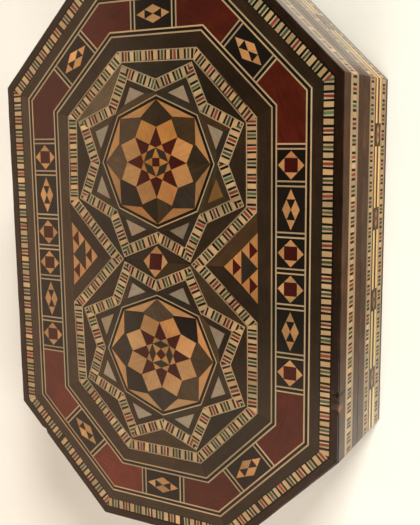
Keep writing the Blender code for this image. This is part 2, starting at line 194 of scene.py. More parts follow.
def make_piece(name, points, face_sets, values, grain_map):
    """An object at the origin whose mesh holds the points and the faces.

    Each argument is a list of arrays, and values is a dictionary of such lists.
    """
    points, grain_map = np.concatenate(points), np.concatenate(grain_map)
    sizes = [faces.shape for faces in face_sets]
    loops = np.concatenate([faces.ravel() for faces in face_sets])
    counts = np.concatenate([np.full(rows, columns) for rows, columns in sizes])
    starts = np.concatenate([[0], np.cumsum(counts)[:-1]])
    mesh = bpy.data.meshes.new(name)
    mesh.vertices.add(len(points))
    mesh.vertices.foreach_set("co", np.asarray(points, np.float32).ravel())
    mesh.loops.add(len(loops))
    mesh.loops.foreach_set("vertex_index", loops.astype(np.int32))
    mesh.polygons.add(len(starts))
    mesh.polygons.foreach_set("loop_start", starts.astype(np.int32))
    mesh.update(calc_edges=True)
    for key, arrays in values.items():
        array = np.concatenate(arrays)
        kind = "FLOAT_COLOR" if array.ndim == 2 else "FLOAT"
        attribute = mesh.attributes.new(key, kind, "POINT")
        field = "color" if array.ndim == 2 else "value"
        attribute.data.foreach_set(field, array.astype(np.float32).ravel())
    layer = mesh.uv_layers.new(name="grain")
    layer.data.foreach_set("uv", grain_map[loops].astype(np.float32).ravel())
    mesh.validate()
    mesh.shade_flat()
    piece = bpy.data.objects.new(name, mesh)
    bpy.context.scene.collection.objects.link(piece)
    return piece


# %% [markdown]
# The woods, from the photograph: walnut and ebony for the dark parts, mahogany for the
# red panels, dyed wood for the green and red slips, and pale wood or bone for the cream.

# %% Name the woods


def linear(colour):
    """Screen colours from 0 to 255 as linear light: ((c + 0.055) / 1.055) ** 2.4."""
    screen = np.asarray(colour) / 255
    return np.where(screen < 0.04045, screen / 12.92, ((screen + 0.055) / 1.055) ** 2.4)


# Colour, how much its brightness differs from tile to tile, and how strongly the grain shows
WOODS = {
    "walnut": (45, 33, 21, 0.12, 0.9),
    "painted_light_walnut": (60, 44, 30, 0.12, 0.9),
    "black_walnut": (35, 30, 22, 0.10, 0.8),
    "grey_walnut": (48, 40, 31, 0.12, 0.9),
    "brown_walnut": (66, 49, 30, 0.12, 1.0),
    "olive_walnut": (77, 60, 44, 0.12, 1.0),
    "faded_walnut": (88, 71, 52, 0.10, 0.9),
    "board_walnut": (84, 58, 40, 0.10, 1.0),
    "ebony": (23, 19, 14, 0.10, 0.5),
    "mahogany": (80, 27, 15, 0.08, 0.9),
    "painted_light_mahogany": (98, 37, 25, 0.08, 0.9),
    "rosewood": (62, 14, 10, 0.12, 0.5),
    "deep_orange": (174, 116, 58, 0.10, 0.5),
    "orange_wood": (178, 125, 76, 0.12, 0.5),
    "pale_orange": (186, 135, 88, 0.12, 0.5),
    "cream": (176, 149, 115, 0.12, 0.3),
    "cream_block": (187, 154, 112, 0.14, 0.4),
    "bone": (232, 196, 140, 0.05, 0.3),
    "red_slip": (132, 50, 40, 0.24, 0.3),
    "green_slip": (62, 82, 55, 0.24, 0.3),
    "pearl": (150, 134, 114, 0.12, 1.0),
    "faded_wood": (158, 126, 92, 0.10, 0.6),
    "plum_wood": (118, 76, 66, 0.10, 0.6),
    "gold_pearl": (122, 86, 40, 0.05, 1.0),
}
# The floor is lit past white in the photograph, so the woods are darker than they look in it
EXPOSED = 0.7
WOOD_NAMES = list(WOODS)
WOOD_TABLE = np.array(list(WOODS.values()))
WOOD_COLOURS = linear(WOOD_TABLE[:, :3]) * EXPOSED
WOOD_SPREAD, WOOD_FIGURE = WOOD_TABLE[:, 3], WOOD_TABLE[:, 4]
print(len(WOODS), "woods")

# %% [markdown]
# A tray gathers the tiles of one piece, as a maker lays them out before gluing. Each tile is an
# outline on a flat place: the lid's top, or one of the eight sides.

# %% Gather tiles


def signed_area(shape):
    """Half the sum of x0 * y1 - x1 * y0 round the outline: above zero if anticlockwise."""
    after = np.roll(shape, -1, 0)
    return 0.5 * float((shape[:, 0] * after[:, 1] - after[:, 0] * shape[:, 1]).sum())


def lid_place():
    """Origin, direction of the outline's first and second number, and outward direction."""
    return np.array([[0, 0, LID_TOP], [1, 0, 0], [0, 1, 0], [0, 0, 1]], float)


def side_place(side):
    """The same for a side: along it, and up from the floor."""
    middle, along, outward = side_frame(side)
    origin = middle + outward * HALF_WIDTH
    return np.array([[*origin, 0], [*along, 0], [0, 0, 1], [*outward, 0]], float)


PLACES = np.array([lid_place()] + [side_place(side) for side in range(8)])
LID = 0
# A tile narrower than this isn't laid. Warmth is how much redder or bluer a tile may be
SMALLEST_TILE = 0.09 * MM
WARMTH_SPREAD = 0.035
# How far a slip reaches, in mm
SLIP_REACH = 6.0
# The pattern was laid by hand: place and slip of points in it, in mm, from the photograph
HAND_SLIPS = np.array([
    (0.0, 50.7, -1.0, 0.5), (0.0, -50.7, -0.4, 0.4),
    (-23.4, 107.3, 0.7, 0.2), (23.4, 107.3, 0.8, -0.6), (56.6, 74.1, -0.5, -2.0),
    (56.6, 27.3, -0.5, 0.3), (-56.6, 74.1, -0.1, 1.6), (-56.6, 27.3, -1.1, 1.5),
    (-56.6, -27.3, -1.1, 0.2), (56.6, -27.3, -0.2, 0.2), (-56.6, -74.1, 0.4, 1.6),
    (56.6, -74.1, -0.4, 0.4), (-23.4, -107.3, 0.5, -0.4), (23.4, -107.3, -0.1, 0.2),
    (-21.0, 0.0, -1.5, -0.5), (21.0, 0.0, -2.2, -0.5), (0.0, 89.0, -0.1, 0.4),
    (-39.0, 50.7, -0.6, 0.2), (38.0, 50.7, -0.8, -0.3), (0.0, 12.0, -0.6, 0.3),
    (0.0, -12.0, -2.2, -1.4), (-39.0, -50.7, -1.0, -0.3), (38.0, -50.7, -0.5, 0.2),
    (0.0, -89.0, 0.2, 0.3),
])


def slipped(shape):
    """Points moved by the slips near them: a mean weighted by 1 / (distance^2 + reach^2)^2.

    Still points all round the field keep the frame of panels straight.
    """
    corners = octagon(FIELD) / MM
    share = np.linspace(0, 1, 9)[:, None, None]
    still = (corners + (np.roll(corners, -1, 0) - corners) * share).reshape(-1, 2)
    known = np.concatenate([HAND_SLIPS, np.pad(still, ((0, 0), (0, 2)))])
    apart = ((shape[:, None] / MM - known[None, :, :2]) ** 2).sum(2)
    weight = 1 / (apart + SLIP_REACH**2) ** 2
    move = (weight[..., None] * known[None, :, 2:]).sum(1) / weight.sum(1)[:, None]
    return shape + move * MM


class Tray:
    """The tiles of one piece, each with its place, its wood and the direction of its grain."""

    def __init__(self, seed, by_hand=False):
        self.tiles = []
        self.by_hand = by_hand
        self.random = np.random.default_rng(seed)

    def lay(self, shape, wood, grain=0.0, place=LID, sunk=0.0):
        """Adds a tile, unless it is too small to see."""
        shape = np.asarray(shape, float)
        if self.by_hand:
            shape = slipped(shape)
        area = signed_area(shape)
        around = np.linalg.norm(np.roll(shape, -1, 0) - shape, axis=1).sum()
        if 2 * abs(area) / around > SMALLEST_TILE:
            shape = shape if area > 0 else shape[::-1]
            self.tiles.append((shape, WOOD_NAMES.index(wood), grain, place, sunk))

    def colours(self, wood):
        """Each tile's own colour: its wood's, but lighter or darker, and warmer or cooler."""
        count = len(wood)
        light = np.exp(self.random.normal(0, 1, count) * WOOD_SPREAD[wood])
        warmth = self.random.normal(0, WARMTH_SPREAD, count)
        tint = np.stack([light * (1 + warmth), light, light * (1 - warmth)], 1)
        return np.concatenate([WOOD_COLOURS[wood] * tint, np.ones((count, 1))], 1)

    def make(self, name, thickness):
        """One mesh from all the tiles. Those with equally many corners are worked together."""
        points, sets, values, maps = [], [], {"wood_colour": [], "figure": [], "seam": []}, []
        total = 0
        for count in sorted({len(tile[0]) for tile in self.tiles}):
            group = [tile for tile in self.tiles if len(tile[0]) == count]
            flat = np.array([tile[0] for tile in group])
            wood, place = (np.array([tile[i] for tile in group]) for i in (1, 3))
            grain, sunk = (np.array([tile[i] for tile in group], float) for i in (2, 4))
            origin, across, up, normal = (PLACES[place][:, i] for i in range(4))
            corners = origin[:, None] + flat[..., :1] * across[:, None]
            corners = corners + flat[..., 1:] * up[:, None]
            rings = tile_rings(corners, normal, sunk, thickness)
            points.append(rings.reshape(-1, 3))
            for faces in prism_faces(len(group), count):
                sets.append(faces + total)
            each = 3 * count
            total += len(group) * each
            values["wood_colour"].append(np.repeat(self.colours(wood), each, 0))
            values["figure"].append(np.repeat(WOOD_FIGURE[wood], each))
            seam = np.tile(np.repeat([1.0, 1.0, 0.0], count), len(group))
            values["seam"].append(seam)
            turn = np.stack([np.cos(grain), np.sin(grain), -np.sin(grain), np.cos(grain)], 1)
            turned = np.einsum("mkj,mij->mki", flat, turn.reshape(-1, 2, 2))
            shift = self.random.uniform(-2, 2, (len(group), 1, 2))
            maps.append(np.tile(turned + shift, (1, 3, 1)).reshape(-1, 2))
        print(name, "has", len(self.tiles), "tiles")
        return make_piece(name, points, sets, values, maps)


# %% [markdown]
# Striped bands are cut from a long block: cream, black, then cream, red or green, and cream
# again, black. They are laid between two thin cream lines, and mitred at the corners, so the
# last bars of a band are cut on the slant.

# %% Cut shapes and lay stripes


def cut(shape, point, keep):
    """The part of an outline on the kept side of a line: its corners there, and the crossings."""
    depth = (shape - point) @ keep
    after = np.roll(depth, -1)
    crossing = np.flatnonzero((depth > 0) != (after > 0))
    share = depth[crossing] / (depth[crossing] - after[crossing])
    following = np.roll(shape, -1, 0)[crossing]
    new = shape[crossing] + (following - shape[crossing]) * share[:, None]
    kept = np.flatnonzero(depth > 0)
    order = np.argsort(np.concatenate([kept, crossing + 0.5]))
    return np.concatenate([shape[kept], new])[order]


def without_doubles(shape, closest=0.04 * MM):
    """The outline without corners that sit on the one before."""
    if len(shape) < 3:
        return shape
    apart = np.linalg.norm(shape - np.roll(shape, 1, 0), axis=1)
    return shape[apart > closest]


STRIPES = (
    ("cream_block", 2.35),
    ("ebony", 1.10),
    ("cream", 0.80),
    ("slip", 1.15),
    ("cream", 0.80),
    ("ebony", 1.10),
)
# The chance that a slip has the last one's colour, and the spread of widths and of slants in mm
SAME_AGAIN, WIDTH_SPREAD, SLANT_SPREAD = 0.12, 0.13, 0.06
# What black wood adds to a bar at a wide joint, and the spread of the first bar's start, in mm
WIDE_JOINT = 1.4
FIRST_START = 7.4


def bar_lengths(random, length, start, pitch_scale, gaps):
    """Wood, start, end and both slants of each bar. Slips turn from red to green and back.

    Black wood fills each of the gaps, so a bar there is wider.
    """
    bars, at, slant, number = [], start, 0.0, int(random.integers(0, 2))
    while at < length:
        colour = ("red_slip", "green_slip")[number % 2]
        number += 1 if random.random() > SAME_AGAIN else 2
        for wood, wide in STRIPES:
            wide *= MM * pitch_scale * random.uniform(1 - WIDTH_SPREAD, 1 + WIDTH_SPREAD)
            if wood == "ebony" and gaps and at > gaps[0]:
                wide, gaps = wide + WIDE_JOINT * MM, gaps[1:]
            after = random.normal(0, SLANT_SPREAD) * MM
            bars.append((colour if wood == "slip" else wood, at, at + wide, slant, after))
            at, slant = at + wide, after
    return bars


def lay_band(tray, quad, edge, place=LID, pitch_scale=1.0, edge_wood="cream", gaps=()):
    """Lays edge lines and cross bars in a four-cornered strip.

    The quad's corners run outer start, outer end, inner end, inner start. Bars are nearly square
    to the outer edge, and the strip's two ends cut them.
    """
    quad = np.asarray(quad, float)
    outer, end, inner_end, inner = quad
    length = np.linalg.norm(end - outer)
    along = (end - outer) / length
    inward = np.array([-along[1], along[0]])
    if (inner - outer) @ inward < 0:
        inward = -inward
    wide = (inner - outer) @ inward
    grain = direction(outer, end)

    def at_depth(depth):
        """Both ends of the strip at this depth from its outer edge."""
        share = depth / wide
        return outer + (inner - outer) * share, end + (inner_end - end) * share

    for near, far in ((0.0, edge), (wide - edge, wide)):
        (a, b), (d, c) = at_depth(near), at_depth(far)
        tray.lay([a, b, c, d], edge_wood, grain, place)
    start = tray.random.uniform(-FIRST_START, 0.0) * MM
    (a, b), (d, c) = at_depth(edge), at_depth(wide - edge)
    middle = (a + b + c + d) / 4
    lowest = min(0.0, float((inner - outer) @ along))
    highest = max(length, float((inner_end - outer) @ along))
    bars = bar_lengths(tray.random, highest, lowest + start, pitch_scale, gaps)
    for wood, low, high, slant, high_slant in bars:
        if high < lowest + 0.05 * MM:
            continue
        places = ((low - slant, edge), (high - high_slant, edge))
        places += ((high + high_slant, wide - edge), (low + slant, wide - edge))
        bar = np.array([outer + along * s + inward * v for s, v in places])
        for point, other in ((a, d), (b, c)):
            line = other - point
            keep = np.array([-line[1], line[0]])
            keep *= np.sign((middle - point) @ keep)
            bar = cut(bar, point, keep)
            if len(bar) < 3:
                break
        bar = without_doubles(bar)
        if len(bar) > 2:
            tray.lay(bar, wood, grain + math.pi / 2, place)


def lay_line(tray, quad, woods, place=LID, sunk=0.0):
    """Lays thin strips of several woods side by side in a four-cornered strip, outer one first."""
    outer, end, inner_end, inner = np.asarray(quad, float)
    grain = direction(outer, end)
    total = sum(wide for _, wide in woods)
    share = 0.0
    for wood, wide in woods:
        after = share + wide / total
        strip = [outer + (inner - outer) * share, end + (inner_end - end) * share]
        strip += [end + (inner_end - end) * after, outer + (inner - outer) * after]
        tray.lay(strip, wood, grain, place, sunk)
        share = after


def ring_quads(outer, inner):
    """The eight mitred strips between two outlines with the same corners in the same order."""
    after_outer, after_inner = np.roll(outer, -1, 0), np.roll(inner, -1, 0)
    return np.stack([outer, after_outer, after_inner, inner], 1)


print("a band repeats every", round(sum(wide for _, wide in STRIPES), 2), "mm")

# %% [markdown]
# The outer border has the same stripes, but black lies all round them and no cream line.

# %% Striped border and dark ring
# Thickness of the inlay
LID_INLAY = 1.0 * MM
STAR_INLAY = 0.75 * MM
SIDE_INLAY = 0.9 * MM
# The border's black edge, and how much longer than usual its stripes are
BLACK_EDGE = 0.35 * MM
BORDER_PITCH = 1.035
# Wide black joints in the border, by side: their distance from its start corner, in mm
WIDE_JOINTS = {3: (28.0,), 5: (26.5,), 6: (46.0,), 7: (25.5,)}
border_woods = Tray(11)
for side, quad in enumerate(ring_quads(octagon(RIM), octagon(BORDER))):
    gaps = tuple(joint * MM for joint in WIDE_JOINTS.get(side, ()))
    lay_band(
        border_woods, quad, BLACK_EDGE, pitch_scale=BORDER_PITCH, edge_wood="ebony", gaps=gaps
    )
striped_border = border_woods.make("striped_border", LID_INLAY)
dark_woods = Tray(12)
# The strips on the left and in front are a paler walnut than the rest: painted light, for the
# stronger light on the lid's left and front.
STRIP_WOODS_WITH_PAINTED_LIGHT = ("walnut",) * 4 + ("painted_light_walnut", "painted_light_walnut", "painted_light_walnut", "walnut")
for wood, quad in zip(STRIP_WOODS_WITH_PAINTED_LIGHT, ring_quads(octagon(BORDER), octagon(DARK_RING))):
    dark_woods.lay(quad, wood, direction(quad[0], quad[1]))
dark_ring = dark_woods.make("dark_ring", LID_INLAY)

# %% [markdown]
# Inside the dark ring runs a frame of panels. Two stringing lines of cream, black and cream go
# round it and thin ones part the panels. Motif panels sit on the sides, and mahogany wraps round
# the corners. Each panel sits where its solid does, so the slips of the handwork stay.

# %% Find the panels
LINE = PANELS - FIELD


def panel_span(node, side):
    """Where a panel starts and ends along its side, from its solid's box."""
    low, high = (np.array(corner)[:2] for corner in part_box(node))
    middle, along, _ = side_frame(side)
    centre = ((low + high) / 2 - middle) @ along
    half = PANEL_HALF[node.split("_")[0]]
    return centre - half, centre + half


PANEL_HALF = {
    kind: (place_end(kind + number, 1) - place_end(kind + number, 1, 0)) / 2
    for kind, number in (("square", "_panel_right_4"), ("diamond", "_panel_right_5"))
}
PANEL_NODES = {}
for side, side_name in enumerate(SIDE_NAMES):
    names = [f"{kind}_panel_{side_name}" for kind in PANEL_HALF]
    found = [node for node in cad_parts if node.rsplit("_", 1)[0] in names]
    PANEL_NODES[side] = sorted(found, key=lambda node: int(node.rsplit("_", 1)[1]))
SPANS = {side: [panel_span(node, side) for node in PANEL_NODES[side]] for side in range(8)}
print({SIDE_NAMES[side]: len(nodes) for side, nodes in PANEL_NODES.items()}, "motif panels")

# %% Stringing lines of the frame
# The woods of a line and their widths. They share out whatever width the line has
STRING = (("cream", 0.8), ("ebony", 1.4), ("cream", 0.8))
stringing = Tray(13)
for outer, inner in ((DARK_RING, OUTER_LINE), (PANELS, FIELD)):
    for quad in ring_quads(octagon(outer), octagon(inner)):
        lay_line(stringing, quad, STRING)


def across_frame(side, start, end):
    """An outline right across the frame, from start to end along the side."""
    corners = ((start, PANELS), (start, OUTER_LINE), (end, OUTER_LINE), (end, PANELS))
    return side_shape(side, *corners)


for side in range(8):
    # A short line after each panel, and one before the first
    for start in [span[1] for span in SPANS[side]] + [SPANS[side][0][0] - LINE]:
        lay_line(stringing, across_frame(side, start, start + LINE), STRING)
panel_stringing = stringing.make("panel_stringing_lines", LID_INLAY)

# %% Mahogany corners
# The corners after these sides are a paler mahogany: painted light, for the stronger light on the
# lid's left and front.
PAINTED_LIGHT_CORNERS = (4, 5)
mahogany = Tray(14)
for side in range(8):
    after = (side + 1) % 8
    start = SPANS[side][-1][1] + LINE
    end = SPANS[after][0][0] - LINE
    shape = side_shape(side, (start, PANELS), (start, OUTER_LINE)) + [octagon(OUTER_LINE)[after]]
    shape += side_shape(after, (end, OUTER_LINE), (end, PANELS)) + [octagon(PANELS)[after]]
    wood = "painted_light_mahogany" if side in PAINTED_LIGHT_CORNERS else "mahogany"
    mahogany.lay(shape, wood, (side + 0.5) * EIGHTH + math.pi / 2)
mahogany_corners = mahogany.make("mahogany_corners", LID_INLAY)

# %% [markdown]
# The square motif is a dark red square with an orange triangle on each side of it. The diamond
# motif is built from two orange triangles and two orange rhombi with black between them.

# %% Motif panels
# The square's half side, and the diamond's half length and half width
SQUARE_MOTIF = 3.35 * MM
DIAMOND_MOTIF = (9.8 * MM, 4.5 * MM)
# A ground lies a little lower than the tiles that are let into it
SUNK = 0.03 * MM
# Directions that a motif's grain may have
GRAINS = [0.0, 0.8, 1.57, 2.4]


def quarter_turns(shape):
    """The outline and its three copies, a quarter turn apart: (u, v) becomes (-v, u)."""
    shape = np.asarray(shape, float)
    turns = [shape]
    for _ in range(3):
        turns.append(np.stack([-turns[-1][:, 1], turns[-1][:, 0]], 1))
    return turns


def square_motif(half):
    """Wood and outline of each tile: the square, and four triangles as high as its half side."""
    square = np.array([(-half, -half), (half, -half), (half, half), (-half, half)])
    tips = quarter_turns([(half, -half), (2 * half, 0.0), (half, half)])
    return [("rosewood", square)] + [("pale_orange", tip) for tip in tips]


def diamond_motif(length, width):
    """Wood and outline of each tile of a long diamond, from its half length and half width."""
    end = np.array([(length, 0.0), (length / 2, width / 2), (length / 2, -width / 2)])
    rhombus = [(0.0, 0.0), (length / 2, width / 2), (0.0, width), (-length / 2, width / 2)]
    rhombus = np.array(rhombus)
    return [("pale_orange", shape) for shape in (end, rhombus, -end, -rhombus)]


def lay_motif(tray, tiles, centre, along, outward):
    """Lays a motif's tiles round a centre, turned to a side's directions."""
    for wood, shape in tiles:
        placed = centre + shape[:, :1] * along + shape[:, 1:] * outward
        tray.lay(placed, wood, float(tray.random.choice(GRAINS)))


motifs = Tray(15)
for side in range(8):
    middle, along, outward = side_frame(side)
    for node, (start, end) in zip(PANEL_NODES[side], SPANS[side]):
        panel = across_frame(side, start, end)
        motifs.lay(panel, "ebony", direction((0, 0), along), sunk=SUNK)
        centre = side_point(side, (start + end) / 2, (PANELS + OUTER_LINE) / 2)
        square = node.startswith("square")
        tiles = square_motif(SQUARE_MOTIF) if square else diamond_motif(*DIAMOND_MOTIF)
        lay_motif(motifs, tiles, centre, along, outward)
motif_panels = motifs.make("motif_panels", LID_INLAY)

# %% [markdown]
# The heart of the lid is two eight-pointed stars, each in a striped octagon. The octagons cross
# at the waist. Dark veneer fills what is left, every piece of it with its own grain.

# %% Striped octagons
# How far a corner lies along its side for each step outwards, and a band's edge lines
SLOPE = math.tan(EIGHTH / 2)
CREAM_EDGE = 0.55 * MM


def linked_octagons(apothem):
    """Fourteen corners of the two octagons seen as one figure, from the right end of the waist."""
    shoulder = STRETCH - apothem * SLOPE
    right = [(apothem - shoulder, 0.0), (apothem, shoulder), (apothem, STRETCH + apothem * SLOPE)]
    right = np.array(right + [(apothem * SLOPE, STRETCH + apothem)])
    left = right[::-1] * (-1, 1)
    upper = np.concatenate([right, left])
    return np.concatenate([upper, -upper[1:-1]])


bands = Tray(17, by_hand=True)
for quad in ring_quads(linked_octagons(LATTICE), linked_octagons(STRETCH)):
    lay_band(bands, quad, CREAM_EDGE)
octagon_band = bands.make("striped_octagons", STAR_INLAY)

# %% Striped stars
STAR_TIP = STRETCH / math.cos(EIGHTH / 2) - 1.0 * MM
STAR_NOTCH = reach("star_band_back", 0) * math.cos(EIGHTH) / math.cos(EIGHTH / 2) ** 2


def star(inset):
    """Sixteen corners, notch first, moved inwards: inset times (n0 + n1) / (1 + n0 . n1)."""
    radius = np.tile([STAR_NOTCH, STAR_TIP], 8)
    angle = np.arange(16) * EIGHTH / 2
    shape = np.stack([radius * np.cos(angle), radius * np.sin(angle)], 1)
    along = np.roll(shape, -1, 0) - shape
    along /= np.linalg.norm(along, axis=1, keepdims=True)
    inward = np.stack([-along[:, 1], along[:, 0]], 1)
    before = np.roll(inward, 1, 0)
    return shape + inset * (before + inward) / (1 + (before * inward).sum(1, keepdims=True))


print("star notch at", round(STAR_NOTCH / MM, 2), "and tip at", round(STAR_TIP / MM, 2), "mm")
CENTRES = {"back": np.array([0.0, STRETCH]), "front": np.array([0.0, -STRETCH])}
star_bands = {}
for seed, (end, centre) in enumerate(CENTRES.items()):
    tray = Tray(20 + seed, by_hand=True)
    for quad in ring_quads(star(0.0) + centre, star(STRIPED_WIDTH) + centre):
        lay_band(tray, quad, CREAM_EDGE)
    star_bands[end] = tray.make("striped_star_" + end, STAR_INLAY)

# %% [markdown]
# Each medallion is a rosette: a small star in the middle, then rosewood darts, orange squares,
# dark kites and orange triangles, inside a black and a cream line.

# %% Medallions
# Radius of the orange squares' inner corners and of the kites' shoulders, and the edge lines
ROSETTE = 18.0 * MM
KITE_SHOULDER = 24.9 * MM
MEDALLION_LINES = 2.1 * MM
MEDALLION_STRING = (("cream", 0.65), ("ebony", 1.45))
# The kites' woods from the right, anticlockwise. A stroke parts the halves of a kite
KITES = {
    "back": "brown_walnut/walnut brown_walnut walnut olive_walnut olive_walnut black_walnut "
    "walnut/brown_walnut grey_walnut",
    "front": "brown_walnut ebony olive_walnut grey_walnut grey_walnut black_walnut "
    "grey_walnut brown_walnut",
}
# The darker and the paler orange of each medallion. The front one's pair is a grade paler than the
# back one's: painted light, for the stronger light on the lid's front half.
ORANGES_WITH_PAINTED_LIGHT = {"back": ("deep_orange", "orange_wood"), "front": ("orange_wood", "pale_orange")}


def ring_points(radius, step):
    """A point at this radius, at this many eighths of a turn."""
    return np.array([radius * math.cos(step * EIGHTH), radius * math.sin(step * EIGHTH)])


def lay_medallion(tray, centre, turn, kites, oranges_with_painted_light):
    """Lays one medallion. Its small star is turned by turn eighths of a circle."""
    at = ring_points
    # The front medallion's oranges are paler: painted light
    darker, paler = oranges_with_painted_light
    rim = MEDALLION - MEDALLION_LINES / math.cos(EIGHTH / 2)
    half_square = ROSETTE * math.sin(EIGHTH / 2)
    outer = ROSETTE * math.cos(EIGHTH / 2) + half_square
    inner = ROSETTE * math.cos(EIGHTH / 2) - half_square
    notch = inner * math.cos(EIGHTH) / math.cos(EIGHTH / 2)
    core = notch * (1 - math.cos(EIGHTH)) / math.cos(EIGHTH)
    edge = np.array([at(MEDALLION, step) for step in range(8)]) + centre
    tiled = np.array([at(rim, step) for step in range(8)]) + centre
    for quad in ring_quads(edge, tiled):
        lay_line(tray, quad, MEDALLION_STRING)

    def lay(shape, wood, step):
        tray.lay(np.array(shape) + centre, wood, step * EIGHTH + tray.random.normal(0, 0.3))

    for step in range(8):
        left = [at(ROSETTE, step), at(outer, step - 0.5), at(KITE_SHOULDER, step - 0.5)]
        right = [at(KITE_SHOULDER, step + 0.5), at(outer, step + 0.5)]
        kite = kites[step].split("/")
        if len(kite) == 2:
            lay(left + [at(rim, step)], kite[0], step)
            lay([at(rim, step)] + right + [at(ROSETTE, step)], kite[1], step + 1)
        else:
            lay(left + [at(rim, step)] + right, kite[0], step)
        lay([at(rim, step), at(rim, step + 1), at(KITE_SHOULDER, step + 0.5)], paler, step + 2.5)
        square = [at(inner, step + 0.5), at(ROSETTE, step), at(outer, step + 0.5)]
        wood = darker if step in (1, 2) else paler
        lay(square + [at(ROSETTE, step + 1)], wood, step + 0.5)
        dart = [at(notch, step), at(inner, step - 0.5), at(ROSETTE, step), at(inner, step + 0.5)]
        lay(dart, "rosewood", step)
        small = [at(inner, step + 0.5), at(notch, step + 1), at(notch, step)]
        lay(small, darker, step)
    for quarter in range(4):
        step = 2 * quarter + turn
        corner, before = at(core, step + 1), at(core, step - 1)
        rhombus = [at(notch, step), at(notch, step + 1), at(notch, step + 2), corner]
        lay(rhombus, "grey_walnut", step)
        lay([at(notch, step), corner, before], darker, step)
    lay([at(core, 2 * quarter + turn + 1) for quarter in range(4)], "rosewood", turn)


medallions = {}
for seed, (end, centre) in enumerate(CENTRES.items()):
    tray = Tray(30 + seed, by_hand=True)
    lay_medallion(tray, centre, seed, KITES[end].split(), ORANGES_WITH_PAINTED_LIGHT[end])
    medallions[end] = tray.make("rosette_" + end, STAR_INLAY)

# %% [markdown]
# At the waist a rhombus lies between the stars, and a triangle of triangles at each side.

# %% Waist
WAIST_MOTIF = 3.8 * MM
# The red square lies a little off the middle
WAIST_SLIP = np.array([-1.0, 0.0]) * MM
# The triangles beside the rhombus: their point towards the middle, and half their height
WAIST_APEX = reach("waist_triangle_right", 0, 0) - GAP
WAIST_HALF_HEIGHT = LATTICE - WAIST_APEX
waist = Tray(40, by_hand=True)
tips = np.array([(STRETCH * SLOPE, 0.0), (0.0, STRETCH - STAR_NOTCH)])
corners = np.concatenate([tips, -tips])
for part, wood in enumerate(("walnut", "grey_walnut", "walnut", "brown_walnut")):
    shape = [corners[part], corners[(part + 1) % 4], (0.0, 0.0)]
    waist.lay(shape, wood, tray.random.uniform(0, 3), sunk=SUNK)
lay_motif(waist, square_motif(WAIST_MOTIF), WAIST_SLIP, *np.eye(2))
waist_rhombus = waist.make("waist_rhombus_tiles", STAR_INLAY)


def quartered(triangle):
    """Three corner triangles of half the size, and the middle one."""
    middles = (triangle + np.roll(triangle, -1, 0)) / 2
    corners = [np.array([triangle[i], middles[i], middles[i - 1]]) for i in range(3)]
    return corners, middles


triangles = {}
for name, mirror in (("right", 1), ("left", -1)):
    tray = Tray(41 + mirror, by_hand=True)
    whole = [(WAIST_APEX, 0.0), (LATTICE, -WAIST_HALF_HEIGHT), (LATTICE, WAIST_HALF_HEIGHT)]
    whole = np.array(whole) * (mirror, 1)
    corner_parts, middle = quartered(whole)
    tray.lay(middle, "grey_walnut", 1.2)
    for part in corner_parts:
        smaller, centre_part = quartered(part)
        tray.lay(centre_part, "rosewood", 1.6)
        for shape in smaller:
            tray.lay(shape, "orange_wood", tray.random.uniform(1.2, 1.9))
    triangles[name] = tray.make(f"waist_triangle_{name}_tiles", STAR_INLAY)

# %% [markdown]
# Mother-of-pearl fills the points of the stars. It is a real shell tile, so it gets its own
# piece and its own finish.

# %% Mother of pearl
# Dark wood between the shell and what is round it. One of the triangles is gold-coloured
PEARL_MARGIN = 3.4 * MM
base = MEDALLION * math.cos(EIGHTH / 2) + PEARL_MARGIN
tip = reach("star_band_back", 0) / math.cos(EIGHTH / 2)
tip -= (STRIPED_WIDTH + PEARL_MARGIN) / math.sin(EIGHTH)
pearl = Tray(50, by_hand=True)
pearl_shapes = []
for end, centre in CENTRES.items():
    for side in range(8):
        point = ring_points(tip, side + 0.5)
        outward = ring_points(1.0, side + 0.5)
        across = np.array([-outward[1], outward[0]]) * (tip - base)
        shape = np.array([point, outward * base + across, outward * base - across]) + centre
        golden = end == "back" and side == 7
        pearl.lay(shape, "gold_pearl" if golden else "pearl", pearl.random.uniform(0, 3))
        pearl_shapes.append((side, centre, shape))
mother_of_pearl = pearl.make("mother_of_pearl", STAR_INLAY)

# %% [markdown]
# The dark ground is many pieces of walnut veneer: strips round the pearl, the flat triangles
# between star and octagon, and the field outside the octagons.

# %% Dark ground
ground = Tray(51, by_hand=True)
inner_star = star(STRIPED_WIDTH)
outer_star = star(0.0)
DARK_WOODS = ("walnut", "grey_walnut", "walnut", "brown_walnut")


def dark_wood(tray):
    """One of the dark woods, at random from the tray's own seed."""
    return DARK_WOODS[int(tray.random.integers(0, len(DARK_WOODS)))]


for side, centre, (point, left, right) in pearl_shapes:
    notch, tip_in, following = (inner_star[(2 * side + i) % 16] + centre for i in range(3))
    corner, next_corner = (ring_points(MEDALLION, side + i) + centre for i in (0, 1))
    ground.lay([notch, tip_in, point, right], dark_wood(ground), direction(notch, tip_in))
    ground.lay([tip_in, following, left, point], dark_wood(ground), direction(tip_in, following))
    base_strip = [corner, notch, right, left, following, next_corner]
    ground.lay(base_strip, dark_wood(ground), direction(corner, next_corner))
# The woods between star and octagon from the right, anticlockwise. The waist's rhombus is apart
FLAT_TRIANGLES = {
    "back": "walnut walnut grey_walnut faded_walnut black_walnut black_walnut none walnut",
    "front": "walnut brown_walnut none walnut walnut walnut brown_walnut black_walnut",
}
for end, centre in CENTRES.items():
    for step, wood in enumerate(FLAT_TRIANGLES[end].split()):
        if wood != "none":
            corners = [ring_points(STRETCH / math.cos(EIGHTH / 2), step + i) for i in (0.5, -0.5)]
            shape = [outer_star[(2 * step + i) % 16] for i in (-1, 0, 1)] + corners
            ground.lay(np.array(shape) + centre, wood, direction(shape[0], shape[2]))
waist_point, shoulder = linked_octagons(LATTICE)[:2]
